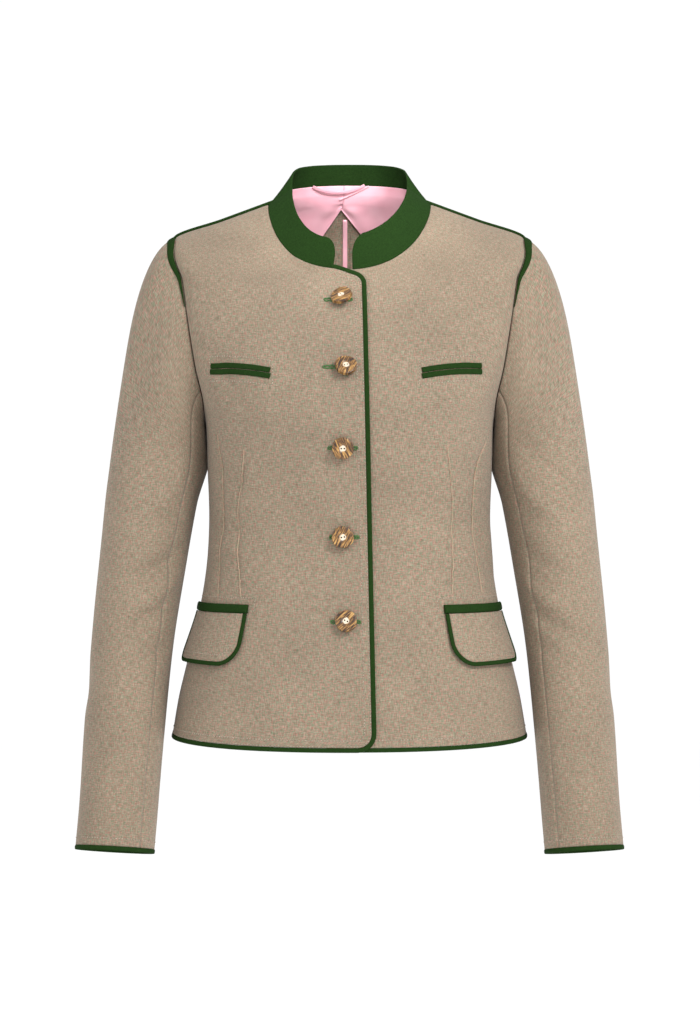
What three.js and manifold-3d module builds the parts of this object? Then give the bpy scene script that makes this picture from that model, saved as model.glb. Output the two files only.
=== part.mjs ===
// A woman's stand-collar linen jacket in its worn shape, hollow, with no wearer.
//
// Frame, in millimetres: the origin is midway between the two points where the shoulder seams meet the
// collar, +Z up, -Y is the front, +X is the wearer's left. Every cloth piece is a thin wall whose outer
// face lies on one of two forms: the torso form (rings stacked from the hem to the neck) and the sleeve form
// (a cap that leaves the armhole, then rings down to the cuff). Trims are made from the points of the piece
// they lie on, moved out.

import * as THREE from "three";
import Module from "manifold-3d";

// ---------------------------------------------------------------- driving dimensions

const WALL = 1.6; // linen with its interlining
const FELT = 2.2; // collar felt, doubled
const TRIM = 1.3; // piping felt, pressed flat
const SATIN = 1.0; // half lining
const SEAM = 0.17; // each piece stops this far short of a seam line, so two are about 0.3 apart
const CLEAR = 0.35; // air between a trim and the piece that it lies on

const CENTRE_X = -3.4; // the fronts' middle line sits a little to the wearer's right
const HEM_AT = -548.5; // cut edge of the body cloth at the side seam
const UNDERARM_AT = -221; // lowest point of the armhole
const SHOULDER_AT = -35; // highest point of the armhole
const NECK_AT = 0; // neck seam at the shoulder seam

const LAP = 2.7; // the right front rides this far above the left one where they overlap
const LAP_FADE = { from: -64, to: -30 }; // x over which that rise fades out
const PIPING_WIDTH = 4.8; // front edge and hem
const HEM_PIPING = 4.6;
const CUFF_PIPING = 4.6;
const FRONT_EDGE = { top: 12.2, bottom: 22.2, neckRound: 9, hemRound: 14 }; // x of the cloth's edge
const TOP_DIP = { drop: 12, from: -19, to: 14, overHeight: 70 }; // its upper edge falls away
const UNDERLAP_X = -24; // front edge of the left front, behind the right one

// Rings of the torso form. at: height at the side; W: half width; F, B: depth of the front and the back;
// nF, nB: squareness; zF, zB: height at the centre front and the centre back; skew: how much the front is
// lower on the right than on the left.
const TORSO_RINGS = [
  { at: -556, W: 184.6, F: 131, B: 118, nF: 2.3, nB: 2.3, zF: -563, zB: -556, skew: 0 },
  { at: -511, W: 177.0, F: 128, B: 115, nF: 2.3, nB: 2.3, zF: -516, zB: -511, skew: 0 },
  { at: -479, W: 169.5, F: 124, B: 111, nF: 2.3, nB: 2.3, zF: -482, zB: -479, skew: 0 },
  { at: -417, W: 155.0, F: 115, B: 100, nF: 2.3, nB: 2.3, zF: -418, zB: -417, skew: 0 },
  { at: -370, W: 147.7, F: 108, B: 90, nF: 2.3, nB: 2.3, zF: -370, zB: -370, skew: 0 },
  { at: -323, W: 145.8, F: 110, B: 87, nF: 2.35, nB: 2.3, zF: -323, zB: -323, skew: 0 },
  { at: -277, W: 147.5, F: 121, B: 91, nF: 2.45, nB: 2.35, zF: -277, zB: -277, skew: 0 },
  { at: -221, W: 150.5, F: 129, B: 98, nF: 2.55, nB: 2.4, zF: -225, zB: -221, skew: 0 },
  { at: -165, W: 167.0, F: 121, B: 101, nF: 2.6, nB: 2.5, zF: -186, zB: -163, skew: 0 },
  { at: -110, W: 176.5, F: 106, B: 98, nF: 2.6, nB: 2.5, zF: -150, zB: -106, skew: 0 },
  { at: -65, W: 180.2, F: 90, B: 89, nF: 2.5, nB: 2.4, zF: -121, zB: -60, skew: 0 },
  { at: -35, W: 180.4, F: 79, B: 79, nF: 2.4, nB: 2.3, zF: -101, zB: -30, skew: 0 },
  { at: -18, W: 133.0, F: 71, B: 66, nF: 2.4, nB: 2.3, zF: -87, zB: -10, skew: 0.03 },
  { at: 0, W: 84.0, F: 64, B: 53, nF: 2.4, nB: 2.2, zF: -73, zB: 9, skew: 0.06 },
];
const RISE = 1.35; // how late a ring turns from its side height to its front or back height

// Upper edge of the collar, a ring of the same kind.
const COLLAR_TOP = {
  at: 17, W: 60, F: 60, B: 51, nF: 2.5, nB: 2.2, zF: -39, zB: 46.5, skew: 0.17, y: -4, riseB: 0.35,
};
const COLLAR_ENDS = { rightX: -17, leftX: 3, round: 17, square: 0.42 }; // square: height left at the end
const COLLAR_HOLLOW = 0.5; // its sides curve in by this much, from the seam to the upper edge

// Armhole, on the torso form: how far (in ring degrees) it reaches in front of and behind the side line.
const ARMHOLE = { front: 27.5, back: 21, fullness: 0.55 }; // the lower the fullness, the squarer it is

// Sleeve: the cap leaves the armhole along START and meets the first ring along ARRIVE (outer side, inner
// side and front side of the arm), for the wearer's right arm.
const CAP_START = { outer: [-136, 0, -30], inner: [-16, 0, -60], front: [-78, -22, -62] };
const CAP_ARRIVE = { outer: [-31, 0, -230], inner: [-9, 0, -50], front: [-26, -4, -150] };
// Rings of the sleeve: at: height; x, y: centre; w: half width; d: half depth; lean: drop of the inner side;
// tilt: rise of the front.
const SLEEVE_RINGS = [
  { at: -277, x: -200.2, y: 1, w: 49.4, d: 55, lean: 0, tilt: 0 },
  { at: -308, x: -205.6, y: 0, w: 48.1, d: 54, lean: 0.4, tilt: 0.3 },
  { at: -370, x: -214.5, y: -4, w: 45.2, d: 52, lean: 1.0, tilt: 2 },
  { at: -432, x: -222.3, y: -10, w: 43.0, d: 49, lean: 1.6, tilt: 4 },
  { at: -494, x: -228.0, y: -18, w: 41.9, d: 47, lean: 2.0, tilt: 5.5 },
  { at: -555, x: -232.7, y: -27, w: 41.0, d: 45.5, lean: 2.3, tilt: 6.5 },
  { at: -616, x: -236.9, y: -36, w: 40.6, d: 44.5, lean: 2.3, tilt: 6.5 },
  { at: -664, x: -240.5, y: -42, w: 40.3, d: 44, lean: 2.3, tilt: 6.5 },
];
const SLEEVE_SEAMS = { front: 45, back: 300 }; // degrees round the sleeve from its inner side, by the front
const UNDERARM_CLEAR = 2.2; // the sleeve starts this far outside the body at the underarm

// Grids of the walls
const ROWS = { side: 11, armhole: 12, shoulder: 5, cap: 8, sleeve: 9 };
const COLUMNS = { front: 12, back: 9 };
const HEM_ROWS = [0, 2.5, 7, 14]; // heights of the first rows over the hem, for the round front corner

// Pockets, in millimetres along the cloth. Chest welts are placed by their ends seen from the front.
const CHEST_WELT = {
  innerX: 76, outerX: 137, innerZ: -183, outerZ: -176.5, height: 11.6, arch: 1.6, slit: 0.6,
};
const HIP_POCKET = { innerX: 98, top: -415.5, strip: 7, flap: 48.5, width: 104 };
const FLAP_SHAPE = { innerRound: 21, outerRound: 9, slant: 1, standOff: 4.2 };
const FLAP_PIPING = 4.2;

// Buttons of antler, with their places seen from the front, and how far each is tipped (degrees)
const BUTTON = {
  radius: 10.9, thick: 4.2, dish: 4.0, dishDeep: 0.8, hole: 0.8, holeApart: 2.9, shank: 1.6,
};
const BUTTONS = [
  { x: -7.5, z: -107, tipUp: 16, tipSide: -20, spin: -50 },
  { x: -3.7, z: -177.5, tipUp: 14, tipSide: 3, spin: 20 },
  { x: -6.7, z: -256, tipUp: 6, tipSide: 2, spin: 0 },
  { x: -6.7, z: -345.5, tipUp: 6, tipSide: 3, spin: 10 },
  { x: -3.2, z: -430.5, tipUp: 8, tipSide: -3, spin: -25 },
];

// Inserts of green felt at the armhole: width at the shoulder and where they run out (degrees of the sleeve)
const INSERT = { width: 8, tip: 2, setIn: 0.6, frontEnd: 105, backEnd: 255 };
const SHOULDER_PIPING = { forward: 1.2, back: 5.5 };

// Half lining inside the back, its hanger loop, and the binding of the centre back seam
const LINING = { apexX: -9, apexZ: 2, sideZ: -150, sideX: 126, steep: 1.5, gap: 1.9, onCollar: 0.42,
  forward: 26 };
const HANGER = { halfLength: 23, width: 4, thick: 1.2, x: -9.5, high: 0.44, sag: 0.2, standOff: 3 };
const BINDING = { clear: 0.6, from: -7.2, to: -2.4, topZ: -17, bottomAt: -540 };

const COLOURS = {
  linen: { color: 0xab9a84, roughness: 0.92, metalness: 0 },
  felt: { color: 0x2c4a25, roughness: 0.95, metalness: 0 },
  satin: { color: 0xf0b4c0, roughness: 0.4, metalness: 0 },
  antler: { color: 0x8a6238, roughness: 0.45, metalness: 0 },
};

// ---------------------------------------------------------------- small helpers

const { lerp, degToRad, smoothstep } = THREE.MathUtils;
const vec = (x, y, z) => new THREE.Vector3(x, y, z);
const moved = (p, direction, amount) => p.clone().addScaledVector(direction, amount);
const mirrored = (p) => vec(-p.x, p.y, p.z);

// A smooth curve through the rows of a table: gives a row with every column at any value of "at".
function alongTable(rows) {
  const sorted = [...rows].sort((a, b) => a.at - b.at);
  const slope = (i, key) => {
    const before = sorted[Math.max(i - 1, 0)];
    const after = sorted[Math.min(i + 1, sorted.length - 1)];
    return (after[key] - before[key]) / (after.at - before.at);
  };
  return (at) => {
    let i = 0;
    while (i < sorted.length - 2 && at > sorted[i + 1].at) i++;
    const [a, b] = [sorted[i], sorted[i + 1]];
    const span = b.at - a.at;
    const s = (at - a.at) / span;
    const row = {};
    for (const key of Object.keys(a)) {
      row[key] =
        (1 + 2 * s) * (1 - s) ** 2 * a[key] + s * (1 - s) ** 2 * span * slope(i, key) +
        s * s * (3 - 2 * s) * b[key] + s * s * (s - 1) * span * slope(i + 1, key);
    }
    return { ...row, at };
  };
}

// Outward normal of a surface point(a, b), by differences. turn is 1 or -1 and picks the side.
function normalOf(point, a, b, stepA, stepB, turn) {
  const alongA = point(a + stepA, b).sub(point(a - stepA, b));
  const alongB = point(a, b + stepB).sub(point(a, b - stepB));
  return alongA.cross(alongB).multiplyScalar(turn).normalize();
}

const steps = (from, to, count) => Array.from({ length: count + 1 }, (_, i) => lerp(from, to, i / count));

// ---------------------------------------------------------------- the forms

const torsoRing = alongTable(TORSO_RINGS);

// Point of a ring at angle t: 0 centre front, 90 degrees the wearer's left side, 180 degrees centre back.
function onRing(ring, t) {
  const [s, c] = [Math.sin(t), Math.cos(t)];
  const front = c >= 0;
  const depth = front ? ring.F : ring.B;
  const n = front ? ring.nF : ring.nB;
  const q = (Math.abs(s) ** n + Math.abs(c) ** n) ** (-1 / n);
  const share = Math.min(1, Math.abs(c) * q);
  const rise = front ? RISE : ring.riseB ?? RISE;
  const x = ring.W * s * q;
  const z = ring.at + ((front ? ring.zF : ring.zB) - ring.at) * share ** rise;
  return vec(x, -depth * c * q + (ring.y ?? 0), z + (front ? ring.skew * x * share : 0));
}

const torsoPoint = (t, at) => onRing(torsoRing(at), t);
const torsoNormal = (t, at) => normalOf(torsoPoint, t, at, 0.01, 0.8, 1);
const overTorso = (t, at, lift) => moved(torsoPoint(t, at), torsoNormal(t, at), lift);

// Ring angle and height of the torso's point that shows at (x, z) from the front.
function seenFromFront(x, z) {
  let [t, at] = [x / 150, z];
  for (let i = 0; i < 12; i++) {
    const here = torsoPoint(t, at);
    const byT = torsoPoint(t + 0.002, at).sub(here).divideScalar(0.002);
    const byAt = torsoPoint(t, at + 0.2).sub(here).divideScalar(0.2);
    const det = byT.x * byAt.z - byAt.x * byT.z;
    const [dx, dz] = [x - here.x, z - here.z];
    t += (dx * byAt.z - dz * byAt.x) / det;
    at += (dz * byT.x - dx * byT.z) / det;
  }
  return { t, at };
}

// Armhole line of the wearer's left side. turn 0: underarm, 1: shoulder. front is true for the front half.
function armhole(turn, front) {
  const angle = Math.PI * turn;
  const reach = front ? ARMHOLE.front : -ARMHOLE.back;
  return {
    t: Math.PI / 2 - degToRad(reach * Math.abs(Math.sin(angle)) ** ARMHOLE.fullness),
    at: lerp(UNDERARM_AT, SHOULDER_AT, (1 - Math.cos(angle)) / 2),
  };
}

const sleeveRing = alongTable(SLEEVE_RINGS);
const FIRST_RING = SLEEVE_RINGS[0].at;
const LAST_RING = SLEEVE_RINGS[SLEEVE_RINGS.length - 1].at;

// Sleeve of the wearer's right arm. a: angle round it, 0 at the inner side, 90 degrees in front.
function onSleeveRing(a, at) {
  const ring = sleeveRing(at);
  const inner = Math.cos(a);
  return vec(
    ring.x + ring.w * inner,
    ring.y - ring.d * Math.sin(a),
    at - ring.lean * inner + ring.tilt * Math.sin(a),
  );
}

// Weighs three directions by where a point lies round the sleeve.
function roundSleeve(directions, a) {
  const [inner, front] = [Math.cos(a), Math.sin(a)];
  const out = vec(0, 0, 0);
  out.addScaledVector(vec(...directions[inner < 0 ? "outer" : "inner"]), inner * inner);
  const side = vec(...directions.front);
  if (front < 0) side.y *= -1;
  return out.addScaledVector(side, front * front);
}

function armholeOfSleeve(a) {
  const turned = ((a % (2 * Math.PI)) + 2 * Math.PI) % (2 * Math.PI);
  const front = turned <= Math.PI;
  const { t, at } = armhole(front ? turned / Math.PI : 2 - turned / Math.PI, front);
  const inner = Math.max(0, Math.cos(a));
  return mirrored(overTorso(t, at, UNDERARM_CLEAR * inner * inner));
}

// The whole sleeve: down from 1 to 0 is the cap, below 0 the rings, as a height under the first ring.
function sleevePoint(a, down) {
  if (down <= 0) return onSleeveRing(a, FIRST_RING + down);
  const s = 1 - down;
  return armholeOfSleeve(a).multiplyScalar((1 + 2 * s) * (1 - s) ** 2)
    .addScaledVector(roundSleeve(CAP_START, a), s * (1 - s) ** 2)
    .addScaledVector(onSleeveRing(a, FIRST_RING), s * s * (3 - 2 * s))
    .addScaledVector(roundSleeve(CAP_ARRIVE, a), s * s * (s - 1));
}

function overSleeve(a, down, lift) {
  const inCap = down > 0;
  const stepDown = inCap ? Math.min(0.01, (1.0001 - down) / 2 + 0.001, down / 2 + 0.001) : 0.5;
  const normal = normalOf(sleevePoint, a, down, 0.02, stepDown, -1);
  return moved(sleevePoint(a, down), normal, lift);
}

// Collar: t round the neck, v from the neck seam (0) to the upper edge (1). overCollar is inside the neck
// where lift is below zero.
function collarPoint(t, v) {
  const base = torsoPoint(t, NECK_AT);
  const top = onRing(COLLAR_TOP, t);
  const out = top.clone().sub(base).cross(vec(Math.cos(t), Math.sin(t), 0)).normalize();
  return base.lerp(top, v).addScaledVector(out, COLLAR_HOLLOW * Math.sin(t) ** 2 * 4 * v * (1 - v));
}

function overCollar(t, v, lift) {
  return moved(collarPoint(t, v), normalOf(collarPoint, t, v, 0.02, 0.02, 1), lift);
}

// ---------------------------------------------------------------- solids

// Closed solid from a list of points and faces, turned the right way out.
function solid(points, faces) {
  let volume = 0;
  for (const [a, b, c] of faces) volume += points[a].dot(points[b].clone().cross(points[c]));
  const index = faces.flatMap(([a, b, c]) => (volume < 0 ? [a, c, b] : [a, b, c]));
  const geometry = new THREE.BufferGeometry().setFromPoints(points);
  geometry.setIndex(index);
  geometry.computeVertexNormals();
  return geometry;
}

// Wall between two grids of points, grid[row][column]. around joins the last column to the first.
function wall(outer, inner, around = false) {
  const rows = outer.length;
  const columns = outer[0].length;
  const layer = rows * columns;
  const id = (r, c) => r * columns + (c % columns);
  const faces = [];
  const quad = (a, b, c, d) => faces.push([a, b, c], [a, c, d]);
  const last = around ? columns : columns - 1;
  const points = [...outer.flat(), ...inner.flat()];
  for (let r = 0; r < rows - 1; r++)
    for (let c = 0; c < last; c++) {
      const [a, b, d, e] = [id(r, c), id(r, c + 1), id(r + 1, c + 1), id(r + 1, c)];
      const shorter = points[a].distanceTo(points[d]) <= points[b].distanceTo(points[e]);
      const ring = shorter ? [a, b, d, e] : [b, d, e, a]; // a cell is split along its shorter diagonal
      quad(...ring);
      const [f, g, h, k] = ring.map((corner) => corner + layer);
      faces.push([f, h, g], [f, k, h]);
    }
  for (let c = 0; c < last; c++) {
    quad(id(0, c), id(0, c) + layer, id(0, c + 1) + layer, id(0, c + 1));
    quad(id(rows - 1, c), id(rows - 1, c + 1), id(rows - 1, c + 1) + layer, id(rows - 1, c) + layer);
  }
  if (!around)
    for (let r = 0; r < rows - 1; r++) {
      quad(id(r, 0), id(r + 1, 0), id(r + 1, 0) + layer, id(r, 0) + layer);
      const end = columns - 1;
      quad(id(r, end), id(r, end) + layer, id(r + 1, end) + layer, id(r + 1, end));
    }
  return solid(points, faces);
}

// Pulls one border of a pair of grids in along the cloth, to leave a seam's gap.
function trim(grids, border, amount = SEAM) {
  const [outer] = grids;
  const rows = outer.length;
  const columns = outer[0].length;
  const along = border === "left" || border === "right" ? rows : columns;
  for (let k = 0; k < along; k++) {
    const [r, c, inR, inC] = {
      left: [k, 0, k, 1],
      right: [k, columns - 1, k, columns - 2],
      bottom: [0, k, 1, k],
      top: [rows - 1, k, rows - 2, k],
    }[border];
    const pull = outer[inR][inC].clone().sub(outer[r][c]).setLength(amount);
    for (const grid of grids) grid[r][c] = grid[r][c].clone().add(pull);
  }
}

// Strip with a flat section, swept along stations {p, side, up}. from, to: across; low, high: up.
function strip(stations, { from, to, low, high }, closed = false) {
  const corner = (s, across, up) => moved(moved(s.p, s.side, across), s.up, up);
  const outer = stations.map((s) => [corner(s, from, high), corner(s, to, high)]);
  const inner = stations.map((s) => [corner(s, from, low), corner(s, to, low)]);
  if (!closed) return wall(outer, inner);
  const turn = (grid) => [grid.map((row) => row[0]), grid.map((row) => row[1])];
  return wall(turn(outer), turn(inner), true);
}

// Pulls the two ends of a line of points in, to leave a seam's gap.
function shortened(points, amount = SEAM) {
  const pull = (end, next) => moved(end, next.clone().sub(end).normalize(), amount);
  const last = points.length - 1;
  return [pull(points[0], points[1]), ...points.slice(1, -1), pull(points[last], points[last - 1])];
}

// Stations along a line of points with their normals; side is to the left of the way, seen from outside.
function stationsAlong(points, normals) {
  return points.map((p, i) => {
    const ahead = points[Math.min(i + 1, points.length - 1)];
    const behind = points[Math.max(i - 1, 0)];
    const way = ahead.clone().sub(behind).normalize();
    const up = normals[i].clone().normalize();
    return { p, up, side: up.clone().cross(way).normalize() };
  });
}

const jacket = new THREE.Group();

function add(name, geometry, finish) {
  const mesh = new THREE.Mesh(geometry, new THREE.MeshStandardMaterial(COLOURS[finish]));
  mesh.name = name;
  jacket.add(mesh);
  return mesh;
}

// ---------------------------------------------------------------- body panels

// Heights at which the rows meet the side line and the front or back edge.
function panelRows(front) {
  const seam = steps(HEM_AT, UNDERARM_AT, ROWS.side).slice(1);
  const first = HEM_ROWS.map((h) => HEM_AT + h);
  const rows = [...first, ...seam].map((at) => ({ side: { t: Math.PI / 2, at }, edgeAt: at }));
  for (let k = 1; k <= ROWS.armhole; k++) {
    const share = k / ROWS.armhole;
    rows.push({ side: armhole(share, front), edgeAt: lerp(UNDERARM_AT, SHOULDER_AT, share) });
  }
  for (const at of steps(SHOULDER_AT, NECK_AT, ROWS.shoulder).slice(1))
    rows.push({ side: { t: Math.PI / 2, at }, edgeAt: at });
  return rows;
}

// Front edge of the right front: x of the cloth at centre front height z, with its two round corners.
function rightEdgeX(z, top, bottom) {
  const straight = lerp(FRONT_EDGE.bottom, FRONT_EDGE.top, (z - bottom) / (top - bottom));
  const round = (r, d) => (d >= r ? 0 : r - Math.sqrt(r * r - (r - d) ** 2));
  return straight - round(FRONT_EDGE.neckRound, top - z) - round(FRONT_EDGE.hemRound, z - bottom);
}

// Ring angle of the point at x on a ring near the centre front.
function angleAtX(x, at) {
  let t = 0;
  for (let i = 0; i < 6; i++) t += (x - torsoPoint(t, at).x) / torsoRing(at).W;
  return t;
}

// Places {t, at} of a panel: from its edge at the middle to its side line.
function panelPlaces(rows, edgeAngle, columns, mirror) {
  return rows.map(({ side, edgeAt }) =>
    steps(0, 1, columns).map((u) => ({
      t: mirror * (lerp(edgeAngle(edgeAt) * mirror, Math.PI / 2, u) + (side.t - Math.PI / 2) * u * u),
      at: lerp(edgeAt, side.at, u ** 1.6),
    })),
  );
}

// Outer and inner grids of a panel. lift(p) raises the cloth over what lies under it.
function panelGrids(places, lift) {
  const make = (depth) => places.map((row) => row.map(({ t, at }) => {
    const p = torsoPoint(t, at);
    return moved(p, torsoNormal(t, at), lift(p) - depth);
  }));
  return [make(0), make(WALL)];
}

const lapLift = (p) => LAP * smoothstep(p.x, LAP_FADE.from, LAP_FADE.to) + 0.0001;
const noLift = () => 0;

const frontRows = panelRows(true);
const backRows = panelRows(false);
const [topZ, bottomZ] = [torsoPoint(0, NECK_AT).z, torsoPoint(0, HEM_AT).z];

// Lets the upper edge of the right front fall away from the collar towards its corner.
function dipped({ t, at }) {
  const share = Math.max(0, (at - NECK_AT) / TOP_DIP.overHeight + 1);
  return { t, at: at - TOP_DIP.drop * share * smoothstep(torsoPoint(t, at).x, TOP_DIP.from, TOP_DIP.to) };
}

const rightPlaces = panelPlaces(
  frontRows,
  (at) => angleAtX(rightEdgeX(torsoPoint(0, at).z, topZ, bottomZ), at),
  COLUMNS.front,
  -1,
).map((row) => row.map(dipped));
const leftPlaces = panelPlaces(frontRows, (at) => angleAtX(UNDERLAP_X, at), COLUMNS.front, 1);
const backPlaces = (mirror) => panelPlaces(backRows, () => mirror * Math.PI, COLUMNS.back, mirror);

const rightFront = panelGrids(rightPlaces, lapLift);
const leftFront = panelGrids(leftPlaces, noLift);
const rightBack = panelGrids(backPlaces(-1), noLift);
const leftBack = panelGrids(backPlaces(1), noLift);

const rightHem = rightFront[0].map((row) => [...row]); // borders before they are trimmed
const rightNormals = rightPlaces.map((row) => row.map(({ t, at }) => torsoNormal(t, at)));

for (const grids of [rightFront, leftFront, rightBack, leftBack]) trim(grids, "right");
for (const grids of [rightBack, leftBack]) trim(grids, "left");
for (const grids of [rightFront, leftFront, rightBack, leftBack]) trim(grids, "top", 0.25);

add("front_right", wall(...rightFront), "linen");
add("front_left", wall(...leftFront), "linen");
add("back_right", wall(...rightBack), "linen");
add("back_left", wall(...leftBack), "linen");

// ---------------------------------------------------------------- sleeves

const CAP_DOWNS = steps(1, 0, ROWS.cap);
const ARM_DOWNS = steps(0, LAST_RING - FIRST_RING, ROWS.sleeve).slice(1);
const SLEEVE_DOWNS = [...CAP_DOWNS, ...ARM_DOWNS];

function sleevePart(name, fromDegrees, toDegrees, mirror) {
  const count = (toDegrees - fromDegrees) / (180 / ROWS.armhole);
  const angles = steps(degToRad(fromDegrees), degToRad(toDegrees), count);
  const place = (p) => (mirror ? mirrored(p) : p);
  const make = (depth) => SLEEVE_DOWNS.map((down) => angles.map((a) => place(overSleeve(a, down, -depth))));
  const grids = [make(0), make(WALL)];
  trim(grids, "bottom", 2 * SEAM);
  trim(grids, "left");
  trim(grids, "right");
  add(name, wall(...grids), "linen");
}

for (const [side, mirror] of [["right", false], ["left", true]]) {
  sleevePart(`top_sleeve_${side}`, SLEEVE_SEAMS.front, SLEEVE_SEAMS.back, mirror);
  sleevePart(`under_sleeve_${side}`, SLEEVE_SEAMS.back - 360, SLEEVE_SEAMS.front, mirror);
}

// ---------------------------------------------------------------- collar

// Share of the collar's height that stands at a point whose distance from the collar's end is d.
function collarShare(d) {
  const { round, square } = COLLAR_ENDS;
  if (d >= round) return 1;
  return square + (1 - square) * Math.sqrt(1 - (1 - d / round) ** 2);
}

const collarSpan = {
  right: angleAtX(COLLAR_ENDS.rightX, NECK_AT),
  left: angleAtX(COLLAR_ENDS.leftX, NECK_AT),
};

function collarAngles() {
  const near = [0, 0.035, 0.09, 0.16, 0.25];
  const [start, end] = [collarSpan.left, collarSpan.right + 2 * Math.PI];
  const middle = steps(start + 0.36, end - 0.36, 28);
  return [...near.map((a) => start + a), ...middle, ...near.map((a) => end - a).reverse()];
}

function collar() {
  const angles = collarAngles();
  const ends = [torsoPoint(collarSpan.left, 0), torsoPoint(collarSpan.right, 0)];
  const share = angles.map((t) => {
    const p = torsoPoint(t, NECK_AT);
    return collarShare(Math.min(p.distanceTo(ends[0]), p.distanceTo(ends[1])));
  });
  const levels = [0.01, 0.35, 0.7, 1];
  const make = (depth) => levels.map((v) => angles.map((t, i) => overCollar(t, v * share[i], -depth)));
  add("collar", wall(make(0), make(FELT)), "felt");
}
collar();

// ---------------------------------------------------------------- piping

// Piping along the edge of the right front, from the collar's end to the side seam at the hem.
function edgePiping() {
  const lastRow = rightHem.length - 1;
  const cells = [[lastRow, 1], ...Array.from({ length: lastRow + 1 }, (_, r) => [lastRow - r, 0])];
  for (let c = 1; c < rightHem[0].length; c++) cells.push([0, c]);
  const points = cells.map(([r, c]) => rightHem[r][c]);
  const normals = cells.map(([r, c]) => rightNormals[r][c]);
  const start = torsoPoint(collarSpan.right, NECK_AT).addScaledVector(normals[0], LAP);
  const beyond = rightHem[lastRow][2];
  const share = Math.min(0.95, start.distanceTo(points[0]) / beyond.distanceTo(points[0]));
  points.unshift(points[0].clone().lerp(beyond, share));
  normals.unshift(normals[0]);
  const stations = stationsAlong(shortened(points), normals);
  const across = { from: CLEAR - 0.05, to: PIPING_WIDTH, low: -WALL - 0.2, high: 0.5 };
  add("edge_piping_right", strip(stations, across), "felt");
}
edgePiping();

// Piping under the hem of a panel, along its first row of places.
function hemPiping(name, places, lift, across) {
  const points = places.map(({ t, at }) => overTorso(t, at, lift));
  const normals = places.map(({ t, at }) => torsoNormal(t, at));
  add(name, strip(stationsAlong(shortened(points), normals), across), "felt");
}

const hemSection = { from: CLEAR, to: HEM_PIPING, low: -WALL - 0.3, high: 0.4 };
hemPiping("hem_piping_left", [...leftPlaces[0]].reverse(), 0, hemSection);
const backHem = [
  ...[...backPlaces(1)[0]].reverse(),
  ...backPlaces(-1)[0].slice(1).map(({ t, at }) => ({ t: t + 2 * Math.PI, at })),
];
hemPiping("hem_piping_back", backHem.reverse(), 0, hemSection);

for (const [side, mirror] of [["right", false], ["left", true]]) {
  const angles = steps(0, 2 * Math.PI, 24).slice(0, 24);
  const end = LAST_RING - FIRST_RING;
  const place = (p) => (mirror ? mirrored(p) : p);
  const make = (depth) => [CLEAR, CUFF_PIPING].map((h) =>
    angles.map((a) => place(overSleeve(a, end - h, depth))));
  add(`cuff_piping_${side}`, wall(make(0.4), make(-WALL - 0.3), true), "felt");
}

// ---------------------------------------------------------------- armhole inserts and shoulder piping

// The insert lies on the first cells of the sleeve's head, widest at the shoulder.
function insertGrids(place) {
  const count = (INSERT.backEnd - INSERT.frontEnd) / (180 / ROWS.armhole);
  const angles = steps(degToRad(INSERT.frontEnd), degToRad(INSERT.backEnd), count);
  const half = Math.PI - degToRad(INSERT.frontEnd);
  const make = (lift) => angles.map((a) => {
    const [edge, next] = [overSleeve(a, 1, lift), overSleeve(a, CAP_DOWNS[1], lift)];
    const width = lerp(INSERT.width, INSERT.tip, Math.abs(a - Math.PI) / half);
    const way = next.sub(edge).normalize();
    return [INSERT.setIn, width].map((w) => place(moved(edge, way, w)));
  });
  return [make(CLEAR + TRIM), make(CLEAR)];
}

for (const [side, mirror] of [["right", false], ["left", true]]) {
  const place = (p) => (mirror ? mirrored(p) : p);
  add(`armhole_insert_${side}`, wall(...insertGrids(place)), "felt");

  const mark = mirror ? 1 : -1;
  const ats = steps(SHOULDER_AT + 2.2, NECK_AT - 0.9, 8);
  const offsets = steps(-SHOULDER_PIPING.forward, SHOULDER_PIPING.back, 3);
  const piping = (lift) => ats.map((at) => {
    const ring = torsoRing(at);
    return offsets.map((y) => {
      const t = Math.PI / 2 + y / (y < 0 ? ring.F : ring.B);
      return overTorso(mark * t, at, lift);
    });
  });
  add(`shoulder_piping_${side}`, wall(piping(CLEAR + TRIM + 0.4), piping(CLEAR)), "felt");
}

// ---------------------------------------------------------------- pockets

// A patch over the torso from lists of places, rows of {t, at, lift}.
function patch(name, rows, thick, finish) {
  const make = (extra) => rows.map((row) => row.map(({ t, at, lift }) => overTorso(t, at, lift + extra)));
  add(name, wall(make(thick), make(0)), finish);
}

for (const [side, mark] of [["right", -1], ["left", 1]]) {
  const place = (share, down) => {
    const x = CENTRE_X + mark * lerp(CHEST_WELT.innerX, CHEST_WELT.outerX, share);
    const arch = CHEST_WELT.arch * 4 * share * (1 - share);
    const z = lerp(CHEST_WELT.innerZ, CHEST_WELT.outerZ, share) + arch + down;
    return { ...seenFromFront(x, z), lift: CLEAR };
  };
  const half = CHEST_WELT.height / 2;
  const lips = [["upper", CHEST_WELT.slit / 2, half], ["lower", -half, -CHEST_WELT.slit / 2]];
  for (const [lip, low, high] of lips) {
    const rows = [low, (low + high) / 2, high].map((down) => steps(0, 1, 8).map((s) => place(s, down)));
    patch(`chest_welt_${lip}_${side}`, rows, TRIM, "felt");
  }
}

// Places on the torso round a hip pocket: along the cloth from the pocket's inner end, down from its top.
function hipPlaces(mark) {
  const start = Math.abs(seenFromFront(CENTRE_X + mark * HIP_POCKET.innerX, HIP_POCKET.top).t);
  return (along, down, lift) => {
    const at = HIP_POCKET.top - down;
    const ring = torsoRing(at);
    let [t, left] = [start, along];
    const step = Math.sign(along) * 0.004;
    while (Math.abs(left) > 0.05 && Math.abs(t) < 3) {
      const length = onRing(ring, t + step).distanceTo(onRing(ring, t));
      const share = Math.min(1, Math.abs(left) / length);
      t += step * share;
      left -= Math.sign(along) * length * share;
    }
    return { t: mark * t, at, lift };
  };
}

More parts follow.
